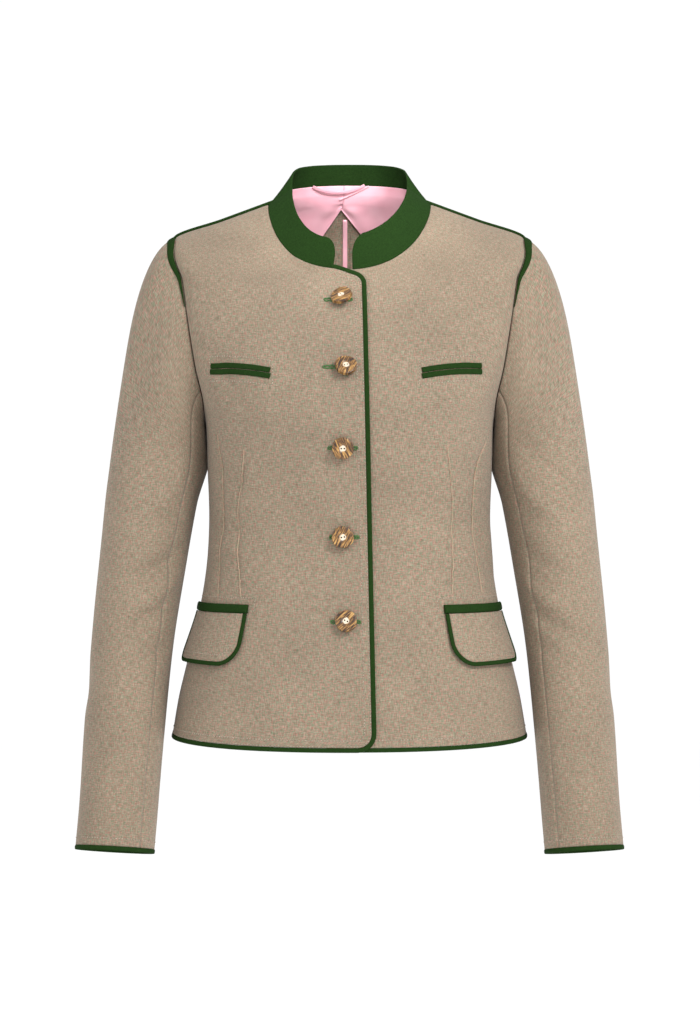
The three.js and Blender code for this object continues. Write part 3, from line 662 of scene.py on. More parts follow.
@dataclass
class Stations:
    """Points along a line with the two directions of a section there."""

    points: Array
    side: Array
    up: Array

    @classmethod
    def along(cls, points: Array, normals: Array, closed: bool = False) -> "Stations":
        """Stations with their side to the left of the way, seen from outside.

        Args:
            points: the line.
            normals: outward directions along it.
            closed: whether its ends meet.

        Returns:
            The stations.
        """
        if closed:
            way = np.roll(points, -1, 0) - np.roll(points, 1, 0)
        else:
            way = np.gradient(points, axis=0)
        up = unit(normals)
        return cls(points, unit(np.cross(up, unit(way))), up)

    def reversed_side(self) -> "Stations":
        """The same stations with the side on the right of the way."""
        return Stations(self.points, -self.side, self.up)


def band(
    name: str, stations: Stations, across: tuple[float, float], high: tuple[float, float],
    closed: bool = False, square: float = 3.2, corners: int = 16,
) -> bpy.types.Object:
    """Soft-edged band swept along stations.

    Args:
        name: its name.
        stations: the line that it follows.
        across: where it lies across the line.
        high: where it lies above the line.
        closed: whether its ends meet.
        square: how square its section is.
        corners: points of its section.

    Returns:
        The band.
    """
    angle = np.linspace(0, 2 * math.pi, corners, endpoint=False) + math.pi / corners
    c, s = np.cos(angle), np.sin(angle)
    q = (np.abs(c) ** square + np.abs(s) ** square) ** (-1 / square)
    x = (across[0] + across[1]) / 2 + (across[1] - across[0]) / 2 * c * q
    y = (high[0] + high[1]) / 2 + (high[1] - high[0]) / 2 * s * q
    grid = (
        stations.points[:, None]
        + stations.side[:, None] * x[None, :, None]
        + stations.up[:, None] * y[None, :, None]
    )
    rows = len(grid)
    run = lengths(stations.points[:, None], 0)[:, 0]
    uv = np.stack(np.broadcast_arrays(x[None, :], run[:, None]), -1)
    faces = []
    for r in range(rows if closed else rows - 1):
        after = (r + 1) % rows
        for k in range(corners):
            n = (k + 1) % corners
            faces.append([r * corners + k, r * corners + n, after * corners + n, after * corners + k])
    quads = np.array(faces)
    points = grid.reshape(-1, 3)
    if signed_volume(points, quads) < 0:
        faces = [f[::-1] for f in faces]
        flipped = True
    else:
        flipped = False
    if not closed:
        start, end = list(range(corners)), [(rows - 1) * corners + k for k in range(corners)]
        faces += [start if flipped else start[::-1], end[::-1] if flipped else end]
    return mesh_object(name, points, faces, uv.reshape(-1, 2))


def stitches(
    name: str, lines: Sequence[Stations], long: float = 2.0, gap: float = 1.2, thick: float = 0.5,
) -> bpy.types.Object:
    """A row of thread stitches along each line, as one mesh of short spindles.

    Args:
        name: its name.
        lines: the lines that are sewn.
        long: length of a stitch.
        gap: cloth that shows between two of them.
        thick: half width of the thread.

    Returns:
        The stitches.
    """
    points, faces = [], []
    ring = np.array([(1, 0), (0, 0.8), (-1, 0), (0, -0.6)])
    for line in lines:
        run = lengths(line.points[:, None], 0)[:, 0]
        starts = np.arange(gap, run[-1] - long, long + gap)
        for start in starts:
            rows = []
            for share, size in ((0, 0.35), (0.2, 0.95), (0.5, 1.1), (0.8, 0.95), (1, 0.35)):
                at = start + share * long
                p = np.array([np.interp(at, run, line.points[:, k]) for k in range(3)])
                side = np.array([np.interp(at, run, line.side[:, k]) for k in range(3)])
                up = np.array([np.interp(at, run, line.up[:, k]) for k in range(3)])
                sunk = -0.12 if share in (0, 1) else 0.1
                rows.append([p + side * x * thick * size + up * (y * thick * size + sunk) for x, y in ring])
            first = len(points)
            points += [p for row in rows for p in row]
            for r in range(4):
                for k in range(4):
                    n = (k + 1) % 4
                    a, b = first + r * 4, first + (r + 1) * 4
                    faces.append([a + k, b + k, b + n, a + n])
            faces += [[first + k for k in range(4)], [first + 16 + k for k in (3, 2, 1, 0)]]
    return mesh_object(name, np.array(points), faces, np.zeros((len(points), 2)))


class Ground:
    """The outer faces of finished cloth, for what is sewn on them."""

    def __init__(self, *grids: Array) -> None:
        """Keeps the faces of some grids of points."""
        points, faces, first = [], [], 0
        for grid in grids:
            rows, columns = grid.shape[:2]
            points.append(grid.reshape(-1, 3))
            faces.append(grid_faces(rows, columns) + first)
            first += rows * columns
        self.tree = BVHTree.FromPolygons(np.concatenate(points).tolist(), np.concatenate(faces).tolist())

    def settle(self, line: Array, normals: Array, closed: bool = False) -> Stations:
        """Stations on the cloth below a line.

        Args:
            line: points near the cloth.
            normals: outward directions there, which settle which side is up.
            closed: whether the line meets itself.

        Returns:
            The stations, with their heights evened a little.
        """
        found = [self.tree.find_nearest(Vector(p)) for p in line]
        points = np.array([f[0] for f in found])
        up = np.array([f[1] for f in found])
        up = unit(up * np.sign(np.einsum("ij,ij->i", up, normals))[:, None] + normals)
        for _ in range(2):
            up[1:-1] = unit(up[:-2] + 2 * up[1:-1] + up[2:])
        return Stations.along(points, up, closed)


def resampled(line: Array, spacing: float) -> Array:
    """Points along a line at even distances.

    Args:
        line: the line.
        spacing: about how far apart they come.

    Returns:
        The points.
    """
    run = lengths(line[:, None], 0)[:, 0]
    at = np.linspace(0, run[-1], max(2, int(run[-1] / spacing) + 1))
    return np.stack([np.interp(at, run, line[:, k]) for k in range(line.shape[1])], -1)


# ---------------------------------------------------------------- finishes


def softened(points: Array, reach: int) -> Array:
    """The same line with its corners rounded over some points to each side; its ends stay.

    Args:
        points: the line.
        reach: how many points to each side.

    Returns:
        The softer line.
    """
    padded = np.concatenate([
        2 * points[:1] - points[reach:0:-1], points, 2 * points[-1:] - points[-2:-reach - 2:-1],
    ])
    rows = [padded[k:k + len(points)] for k in range(2 * reach + 1)]
    return np.mean(rows, axis=0)


def linear(code: str) -> tuple[float, float, float, float]:
    """Linear colour of an sRGB hex code such as #B4A28E."""
    parts = [int(code[i : i + 2], 16) / 255 for i in (1, 3, 5)]
    return tuple(c / 12.92 if c <= 0.04045 else ((c + 0.055) / 1.055) ** 2.4 for c in parts) + (1.0,)


def add_node(
    tree: bpy.types.NodeTree, kind: str, settings: dict | None = None, inputs: dict | None = None,
    ramp: Sequence[tuple[float, str]] = (),
) -> bpy.types.Node:
    """Adds a node.

    Args:
        tree: the node tree.
        kind: type of the node.
        settings: its properties.
        inputs: values or sockets for its inputs, by name or index.
        ramp: stops of a colour ramp, with hex colours.

    Returns:
        The node.
    """
    node = tree.nodes.new(kind)
    for key, value in (settings or {}).items():
        setattr(node, key, value)
    for key, value in (inputs or {}).items():
        if isinstance(value, bpy.types.NodeSocket):
            tree.links.new(value, node.inputs[key])
        else:
            node.inputs[key].default_value = value
    for i, (place, code) in enumerate(ramp):
        stops = node.color_ramp.elements
        stop = stops[i] if i < 2 else stops.new(place)
        stop.position, stop.color = place, linear(code)
    return node


class Finish:
    """A material with one Principled shader."""

    name = "plain"

    def build(self, tree: bpy.types.NodeTree, shader: bpy.types.Node) -> None:
        """Adds the nodes that feed the shader.

        Args:
            tree: the finish's nodes.
            shader: the node that they feed.
        """
        raise NotImplementedError

    def material(self) -> bpy.types.Material:
        """The finish as a material, made once.

        Returns:
            The material.
        """
        made = bpy.data.materials.get(self.name)
        if made is None:
            made = bpy.data.materials.new(self.name)
            made.use_nodes = True
            self.build(made.node_tree, made.node_tree.nodes["Principled BSDF"])
        return made


@dataclass(frozen=True)
class Linen(Finish):
    """Plain-woven linen, washed: matt, with long uneven slubs in both directions."""

    name: str = "washed_linen"
    light: str = "#B2A595"
    middle: str = "#968A79"
    dark: str = "#776C5D"
    cool: str = "#DDF0E4"
    plain: str = "#F8F4F2"
    warm: str = "#FFE4E2"
    thread: float = 1.15  # mm between threads, drawn about twice as coarse as real so that it shows
    slub: tuple[float, float] = (0.9, 7.0)  # width and length of a slub, mm
    fleck: tuple[float, float] = (1.1, 3.4)  # width and length of a tinted fleck, mm

    @staticmethod
    def streaks(
        tree: bpy.types.NodeTree, places: bpy.types.Node, size: tuple[float, float],
        seeds: tuple[float, float], detail: float, rough: float,
    ) -> list[bpy.types.NodeSocket]:
        """Streaks along the warp and along the weft.

        Args:
            tree: the finish's nodes.
            places: node that gives the places on the cloth.
            size: width and length of a streak, mm.
            seeds: where in the noise each direction is taken.
            detail: how many finer sizes are added.
            rough: how strong the finer sizes are.

        Returns:
            The two amounts.
        """
        made = []
        for (across, along), seed in zip((size, size[::-1]), seeds):
            spread = add_node(tree, "ShaderNodeMapping", None, {
                "Vector": places.outputs[0], "Scale": (1 / (across * MM), 1 / (along * MM), 1),
                "Location": (seed, seed, 0),
            })
            noise = add_node(tree, "ShaderNodeTexNoise", None, {
                "Vector": spread.outputs[0], "Scale": 1.0, "Detail": detail, "Roughness": rough,
            })
            made.append(noise.outputs["Fac"])
        return made

    def build(self, tree: bpy.types.NodeTree, shader: bpy.types.Node) -> None:
        """Crossed slubs for the colour, crossed threads for the relief, and a slow change of tone.

        Args:
            tree: the finish's nodes.
            shader: the node that they feed.
        """
        places = add_node(tree, "ShaderNodeUVMap", {"uv_map": "cloth"})
        slubs = self.streaks(tree, places, self.slub, (0.0, 7.3), 3.0, 0.65)
        crossed = add_node(tree, "ShaderNodeMath", {"operation": "ADD"}, {0: slubs[0], 1: slubs[1]})
        halved = add_node(tree, "ShaderNodeMath", {"operation": "MULTIPLY"}, {0: crossed.outputs[0], 1: 0.5})
        tone = add_node(
            tree, "ShaderNodeValToRGB", None, {"Fac": halved.outputs[0]},
            ((0.36, self.dark), (0.64, self.light), (0.5, self.middle)),
        )
        tints = [
            add_node(
                tree, "ShaderNodeValToRGB", None, {"Fac": flecks},
                ((0.36, self.cool), (0.64, self.warm), (0.5, self.plain)),
            )
            for flecks in self.streaks(tree, places, self.fleck, (3.1, 11.9), 1.0, 0.5)
        ]
        slow = add_node(tree, "ShaderNodeTexNoise", None, {
            "Vector": places.outputs[0], "Scale": 1 / (70 * MM), "Detail": 2.0,
        })
        drift = add_node(
            tree, "ShaderNodeValToRGB", None, {"Fac": slow.outputs["Fac"]},
            ((0.3, "#EFEFEF"), (0.7, "#FFFFFF")),
        )
        mixed = tone.outputs["Color"]
        for other in (*tints, drift):
            blend = add_node(tree, "ShaderNodeMix", {"data_type": "RGBA", "blend_type": "MULTIPLY"}, {
                0: 1.0, 6: mixed, 7: other.outputs["Color"],
            })
            mixed = blend.outputs[2]
        tree.links.new(mixed, shader.inputs["Base Color"])
        waves = []
        for direction in ("X", "Y"):
            wave = add_node(tree, "ShaderNodeTexWave", {"wave_type": "BANDS", "bands_direction": direction}, {
                "Vector": places.outputs[0], "Scale": 0.3142 / (self.thread * MM), "Distortion": 1.6,
                "Detail": 2.0, "Detail Scale": 0.6,
            })
            waves.append(wave.outputs["Fac"])
        weave = add_node(tree, "ShaderNodeMath", {"operation": "MULTIPLY"}, {0: waves[0], 1: waves[1]})
        relief = add_node(tree, "ShaderNodeMath", {"operation": "ADD"}, {
            0: weave.outputs[0], 1: crossed.outputs[0],
        })
        bump = add_node(tree, "ShaderNodeBump", None, {
            "Strength": 0.42, "Distance": 0.00035, "Height": relief.outputs[0],
        })
        tree.links.new(bump.outputs[0], shader.inputs["Normal"])
        shader.inputs["Roughness"].default_value = 0.88
        shader.inputs["Specular IOR Level"].default_value = 0.25
        shader.inputs["Sheen Weight"].default_value = 0.12
        shader.inputs["Sheen Roughness"].default_value = 0.5


@dataclass(frozen=True)
class Felt(Finish):
    """Milled wool: matt, short fibres with no weave, and a soft edge to the light."""

    name: str = "green_wool_felt"
    light: str = "#223B17"
    dark: str = "#16280E"
    fibre: float = 1.6  # mm

    def build(self, tree: bpy.types.NodeTree, shader: bpy.types.Node) -> None:
        """Cloudy tone with short fibres.

        Args:
            tree: the finish's nodes.
            shader: the node that they feed.
        """
        places = add_node(tree, "ShaderNodeTexCoord")
        fibres = add_node(tree, "ShaderNodeTexNoise", None, {
            "Vector": places.outputs["Object"], "Scale": 1 / (self.fibre * MM), "Detail": 5.0,
            "Roughness": 0.7, "Distortion": 0.8,
        })
        tone = add_node(
            tree, "ShaderNodeValToRGB", None, {"Fac": fibres.outputs["Fac"]},
            ((0.3, self.dark), (0.72, self.light)),
        )
        tree.links.new(tone.outputs["Color"], shader.inputs["Base Color"])
        bump = add_node(tree, "ShaderNodeBump", None, {
            "Strength": 0.5, "Distance": 0.0003, "Height": fibres.outputs["Fac"],
        })
        tree.links.new(bump.outputs[0], shader.inputs["Normal"])
        shader.inputs["Roughness"].default_value = 0.95
        shader.inputs["Specular IOR Level"].default_value = 0.06


@dataclass(frozen=True)
class Satin(Finish):
    """Acetate lining satin: smooth, with long soft highlights across its folds."""

    name: str = "pink_lining_satin"
    light: str = "#F8BECA"
    dark: str = "#EDA9B7"

    def build(self, tree: bpy.types.NodeTree, shader: bpy.types.Node) -> None:
        """Slow change of tone, and fine ribs of the weave.

        Args:
            tree: the finish's nodes.
            shader: the node that they feed.
        """
        places = add_node(tree, "ShaderNodeTexCoord")
        slow = add_node(tree, "ShaderNodeTexNoise", None, {
            "Vector": places.outputs["Object"], "Scale": 1 / (28 * MM), "Detail": 2.0,
        })
        tone = add_node(
            tree, "ShaderNodeValToRGB", None, {"Fac": slow.outputs["Fac"]},
            ((0.3, self.dark), (0.7, self.light)),
        )
        tree.links.new(tone.outputs["Color"], shader.inputs["Base Color"])
        spread = add_node(tree, "ShaderNodeMapping", None, {
            "Vector": places.outputs["Object"], "Scale": (1 / (0.7 * MM), 1 / (0.7 * MM), 1 / (9 * MM)),
        })
        ribs = add_node(tree, "ShaderNodeTexNoise", None, {"Vector": spread.outputs[0], "Scale": 1.0})
        bump = add_node(tree, "ShaderNodeBump", None, {
            "Strength": 0.2, "Distance": 0.0002, "Height": ribs.outputs["Fac"],
        })
        tree.links.new(bump.outputs[0], shader.inputs["Normal"])
        shader.inputs["Roughness"].default_value = 0.3
        shader.inputs["Sheen Weight"].default_value = 0.2
        shader.inputs["Specular IOR Level"].default_value = 0.6


@dataclass(frozen=True)
class Antler(Finish):
    """Sawn and polished stag antler: pale spongy core, amber ring, dark grooved bark at the rim."""

    name: str = "polished_antler"
    core: str = "#D8C9B4"
    pale: str = "#C39A5C"
    amber: str = "#99703A"
    brown: str = "#553719"
    bark: str = "#24160B"
    streak: tuple[float, float] = (0.8, 5.0)  # width and length of the bark's grooves, mm

    def build(self, tree: bpy.types.NodeTree, shader: bpy.types.Node) -> None:
        """Grooves that run across the slice, round a pale core.

        Args:
            tree: the finish's nodes.
            shader: the node that they feed.
        """
        places = add_node(tree, "ShaderNodeUVMap", {"uv_map": "slice"})
        grain = add_node(tree, "ShaderNodeUVMap", {"uv_map": "grain"})
        spread = add_node(tree, "ShaderNodeMapping", None, {
            "Vector": grain.outputs[0], "Scale": (10.9 / self.streak[0] / 2, 10.9 / self.streak[1] / 2, 1),
        })
        streaks = add_node(tree, "ShaderNodeTexNoise", None, {
            "Vector": spread.outputs[0], "Scale": 1.0, "Detail": 4.0, "Roughness": 0.6, "Distortion": 0.7,
        })
        bark = add_node(
            tree, "ShaderNodeValToRGB", None, {"Fac": streaks.outputs["Fac"]},
            ((0.38, self.bark), (0.7, self.pale), (0.47, self.brown), (0.58, self.amber)),
        )
        radius = add_node(tree, "ShaderNodeVectorMath", {"operation": "LENGTH"}, {0: places.outputs[0]})
        waver = add_node(tree, "ShaderNodeMath", {"operation": "MULTIPLY_ADD"}, {
            0: streaks.outputs["Fac"], 1: 0.3, 2: radius.outputs["Value"],
        })
        inside = add_node(
            tree, "ShaderNodeValToRGB", None, {"Fac": waver.outputs[0]},
            ((0.4, "#FFFFFF"), (0.47, "#000000")),
        )
        mixed = add_node(tree, "ShaderNodeMix", {"data_type": "RGBA"}, {
            0: inside.outputs["Color"], 6: bark.outputs["Color"], 7: linear(self.core),
        })
        tree.links.new(mixed.outputs[2], shader.inputs["Base Color"])
        bump = add_node(tree, "ShaderNodeBump", None, {
            "Strength": 0.5, "Distance": 0.0005, "Height": streaks.outputs["Fac"],
        })
        tree.links.new(bump.outputs[0], shader.inputs["Normal"])
        shader.inputs["Roughness"].default_value = 0.34
        shader.inputs["IOR"].default_value = 1.55


@dataclass(frozen=True)
class Thread(Finish):
    """Spun polyester sewing thread: a low sheen over twisted plies."""

    name: str = "beige_thread"
    colour: str = "#B8A894"
    shade: str = "#5A4D3E"

    def build(self, tree: bpy.types.NodeTree, shader: bpy.types.Node) -> None:
        """Tone that changes along the thread.

        Args:
            tree: the finish's nodes.
            shader: the node that they feed.
        """
        places = add_node(tree, "ShaderNodeTexCoord")
        plies = add_node(tree, "ShaderNodeTexNoise", None, {
            "Vector": places.outputs["Object"], "Scale": 1 / (0.8 * MM), "Detail": 2.0,
        })
        tone = add_node(
            tree, "ShaderNodeValToRGB", None, {"Fac": plies.outputs["Fac"]},
            ((0.3, self.shade), (0.7, self.colour)),
        )
        tree.links.new(tone.outputs["Color"], shader.inputs["Base Color"])
        bump = add_node(tree, "ShaderNodeBump", None, {
            "Strength": 0.4, "Distance": 0.0002, "Height": plies.outputs["Fac"],
        })
        tree.links.new(bump.outputs[0], shader.inputs["Normal"])
        shader.inputs["Roughness"].default_value = 0.6
        shader.inputs["Sheen Weight"].default_value = 0.2


@dataclass(frozen=True)
class Paper(Finish):
    """Matt white seamless paper of the studio floor."""

    name: str = "studio_paper"
    light: str = "#FFFFFF"
    dark: str = "#FCFCFC"

    def build(self, tree: bpy.types.NodeTree, shader: bpy.types.Node) -> None:
        """Faintly uneven white.

        Args:
            tree: the finish's nodes.
            shader: the node that they feed.
        """
        places = add_node(tree, "ShaderNodeTexCoord")
        slow = add_node(tree, "ShaderNodeTexNoise", None, {"Vector": places.outputs["Object"], "Scale": 3.0})
        tone = add_node(
            tree, "ShaderNodeValToRGB", None, {"Fac": slow.outputs["Fac"]},
            ((0.3, self.dark), (0.7, self.light)),
        )
        tree.links.new(tone.outputs["Color"], shader.inputs["Base Color"])
        shader.inputs["Roughness"].default_value = 0.9


LINEN, FELT_CLOTH, SATIN_CLOTH, ANTLER = Linen(), Felt(), Satin(), Antler()
# darker copy of the lining satin for the hanger loop: partly the loop's own deeper pink, partly painted shade
# that tones down the neck lamp on it
LOOP_SATIN = Satin("pink_loop_satin", "#DE9FAD", "#CE8C9B")
# lighter linen for the rolls along the darts: a painted highlight along their ridges
DART_LINEN_PAINTED_HIGHLIGHT = Linen("dart_linen_painted_highlight", "#BFB09D", "#AC9D89", "#978874")
LINEN_THREAD = Thread()
GREEN_THREAD = Thread("green_buttonhole_twist", "#3D6A26", "#1F4014")


class Slot(Enum):
    """Material slots of the record."""

    LINEN = "linen"
    FELT = "green_felt"
    SATIN = "pink_satin"
    ANTLER = "antler"


def dress(piece: bpy.types.Object, finish: Finish, slot: Slot, *nodes: str) -> bpy.types.Object:
    """Gives a piece its finish, hangs it from the root and hides the solids that it replaces.

    Args:
        piece: the piece.
        finish: its finish.
        slot: not used.
        nodes: the solids that it replaces.

    Returns:
        The piece.
    """
    piece.data.materials.clear()
    piece.data.materials.append(finish.material())
    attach(piece, "root")
    if nodes:
        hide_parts(*nodes)
    LOG.info("%s: %d points, %s", piece.name, len(piece.data.vertices), finish.name)
    return piece


# ---------------------------------------------------------------- body


@dataclass(frozen=True)
class Groove:
    """A narrow sewn line through points (x, z) of the cloth, in mm, with the cloth swelling beside it."""

    line: tuple[tuple[float, float], ...]
    width: float = 2.3
    depth: float = -1.8
    swell: float = 0.9

    def lift(self, x: Array, z: Array) -> Array:
        """How far the line moves the cloth out at (x, z).

        Args:
            x: places across.
            z: places up.

        Returns:
            The lift, in mm.
        """
        line = np.array(self.line)
        steps = np.linalg.norm(np.diff(line, axis=0), axis=1)
        total, before = steps.sum(), np.r_[0, np.cumsum(steps)]
        nearest, place = np.full(np.shape(x), 1e9), np.zeros(np.shape(x))
        for k, step in enumerate(steps):
            (x0, z0), (dx, dz) = line[k], (line[k + 1] - line[k]) / step
            s = np.clip((x - x0) * dx + (z - z0) * dz, 0, step)
            away = np.hypot(x - x0 - dx * s, z - z0 - dz * s)
            closer = away < nearest
            nearest, place = np.where(closer, away, nearest), np.where(closer, before[k] + s, place)
        share = place / total
        ends = 0.25 + 0.75 * smoothstep(share, 0, 0.2) * (1 - smoothstep(share, 0.9, 1))
        near = self.depth * np.exp(-((nearest / self.width) ** 2))
        return ends * (near + self.swell * np.exp(-((nearest / (4.5 * self.width)) ** 2)))


FRONT_DARTS = [
    Groove((
        (-134.4, -240.7), (-132, -260.9), (-129.7, -287.3), (-128.2, -304.4), (-128.9, -326.4),
        (-132, -359.9), (-133.3, -388.4), (-134.4, -406.7),
    )),
    Groove((
        (-106.4, -256.8), (-105.7, -271.9), (-109.6, -292.1), (-113.5, -310.7), (-113.9, -341.5),
        (-112.5, -372.8), (-109.9, -406.1),
    )),
    Groove((
        (140, -248.3), (133.7, -259.5), (129.1, -273.7), (125.7, -291.9), (124.4, -310.7),
        (126, -332.5), (129.9, -364.9), (133, -388.3), (135.4, -403.5),
    )),
    Groove(((98.2, -251.8), (104.2, -300.2), (105.2, -350.5), (104.2, -402.9))),
    Groove(((129.9, -338.7), (143.8, -373.3), (146.3, -387.1)), 3.0, -1.0, 0.6),
]
BACK_DARTS = [
    Groove(((-78, -236), (-74, -290), (-72, -330), (-76, -380), (-84, -436))),
    Groove(((80, -232), (75, -288), (73, -328), (77, -382), (86, -440))),
]


@dataclass
class Panel:
    """One of the four pieces of the body."""

    name: str
    mirror: int
    front: bool
    spacing: float
    sewn: tuple[Border, ...]
    outer: Array = field(default=None, repr=False)
    normals: Array = field(default=None, repr=False)
    places: Place = field(default=None, repr=False)

    def rows(self) -> tuple[Array, Array, Array]:
        """Angles and heights of the side line, and heights at the middle, for every row.

        Returns:
            The three columns.
        """
        low = np.r_[0, 0.8, 1.8, 3.2, 5, 7.5, 10.5, 14]
        seam = np.linspace(HEM_AT + 14, UNDERARM_AT, int(314 / self.spacing))[1:]
        seam = np.r_[HEM_AT + low, seam]
        share = np.linspace(0, 1, int(225 / self.spacing))[1:]
        hole_t, hole_at = armhole(share, np.full(share.shape, self.front))
        top = np.linspace(SHOULDER_AT, NECK_AT, int(104 / self.spacing))[1:]
        half = math.pi / 2
        side_t = np.r_[np.full(seam.shape, half), hole_t, np.full(top.shape, half)]
        return side_t, np.r_[seam, hole_at, top], np.r_[seam, lerp(UNDERARM_AT, SHOULDER_AT, share), top]

    def edge_angle(self, at: Array) -> Array:
        """Ring angle of the panel's edge at the middle.

        Args:
            at: heights.

        Returns:
            The angles.
        """
        if not self.front:
            return np.full(at.shape, self.mirror * math.pi)
        if self.mirror > 0:
            return TORSO.angle_at_x(UNDERLAP_X, at)
        z = TORSO.point(np.zeros_like(at), at)[:, 2]
        top, bottom = z[-1], z[0]
        straight = lerp(EDGE_BOTTOM_X, EDGE_TOP_X, (z - bottom) / (top - bottom))
        for radius, away in ((NECK_ROUND, top - z), (HEM_ROUND, z - bottom)):
            inside = np.clip(radius - away, 0, radius)
            straight = straight - (radius - np.sqrt(radius**2 - inside**2))
        return TORSO.angle_at_x(straight, at)

    def build(self) -> None:
        """Works out the grid of the cloth's outer face, with its folds."""
        side_t, side_at, edge_at = self.rows()
        u = np.linspace(0, 1, int(232 / self.spacing))[None, :]
        edge = self.edge_angle(edge_at) * self.mirror
        t = lerp(edge[:, None], math.pi / 2, u) + (side_t - math.pi / 2)[:, None] * u**2
        at = lerp(edge_at[:, None], side_at[:, None], u**1.6)
        t = t * self.mirror
        laps = self.front and self.mirror < 0
        if laps:
            share = np.maximum(0, (at - NECK_AT) / DIP_HEIGHT + 1)
            x = TORSO.point(t, at)[..., 0]
            fall = DIP_DROP * share * smoothstep(x, DIP_FROM, DIP_TO)
            at = at - fall
            t = np.where(fall > 0.001, TORSO.angle_at_x(x, at), t)
        base = TORSO.point(t, at)
        self.normals, self.places = TORSO.normal(t, at), (t, at)
        x, z = base[..., 0], base[..., 2]
        across, up = lengths(base, 1), lengths(base, 0)
        calm = smoothstep(across[:, -1:] - across, 0, 16) * smoothstep(up[-1:] - up, 0, 10)
        if Border.LEFT in self.sewn:
            calm = calm * smoothstep(across, 0, 12)
        folds = FRONT_FOLDS + FRONT_DARTS if self.front else BACK_FOLDS + BACK_DARTS
        lift = folded(folds, x, z) * calm + rolled(base, self.sewn)
        if laps:
            lift = lift + LAP * smoothstep(x, LAP_FROM, LAP_TO)
        self.outer = base + self.normals * lift[..., None]

    def make(self) -> bpy.types.Object:
        """The panel as a closed wall of cloth.

        Returns:
            The panel.
        """
        uv = np.stack([lengths(self.outer, 1) * self.mirror, lengths(self.outer, 0)], -1)
        piece = shell(self.name + "_cloth", self.outer, self.outer - self.normals * WALL, uv)
        return dress(piece, LINEN, Slot.LINEN, self.name)

    def border(self, row: int | None = None, column: int | None = None) -> tuple[Array, Array]:
        """Points and normals of one row or column."""
        pick = (row, slice(None)) if row is not None else (slice(None), column)
        return self.outer[pick], self.normals[pick]


def downward(stations: Stations) -> Stations:
    """The stations with their side turned down."""
    return stations if stations.side[:, 2].mean() < 0 else stations.reversed_side()


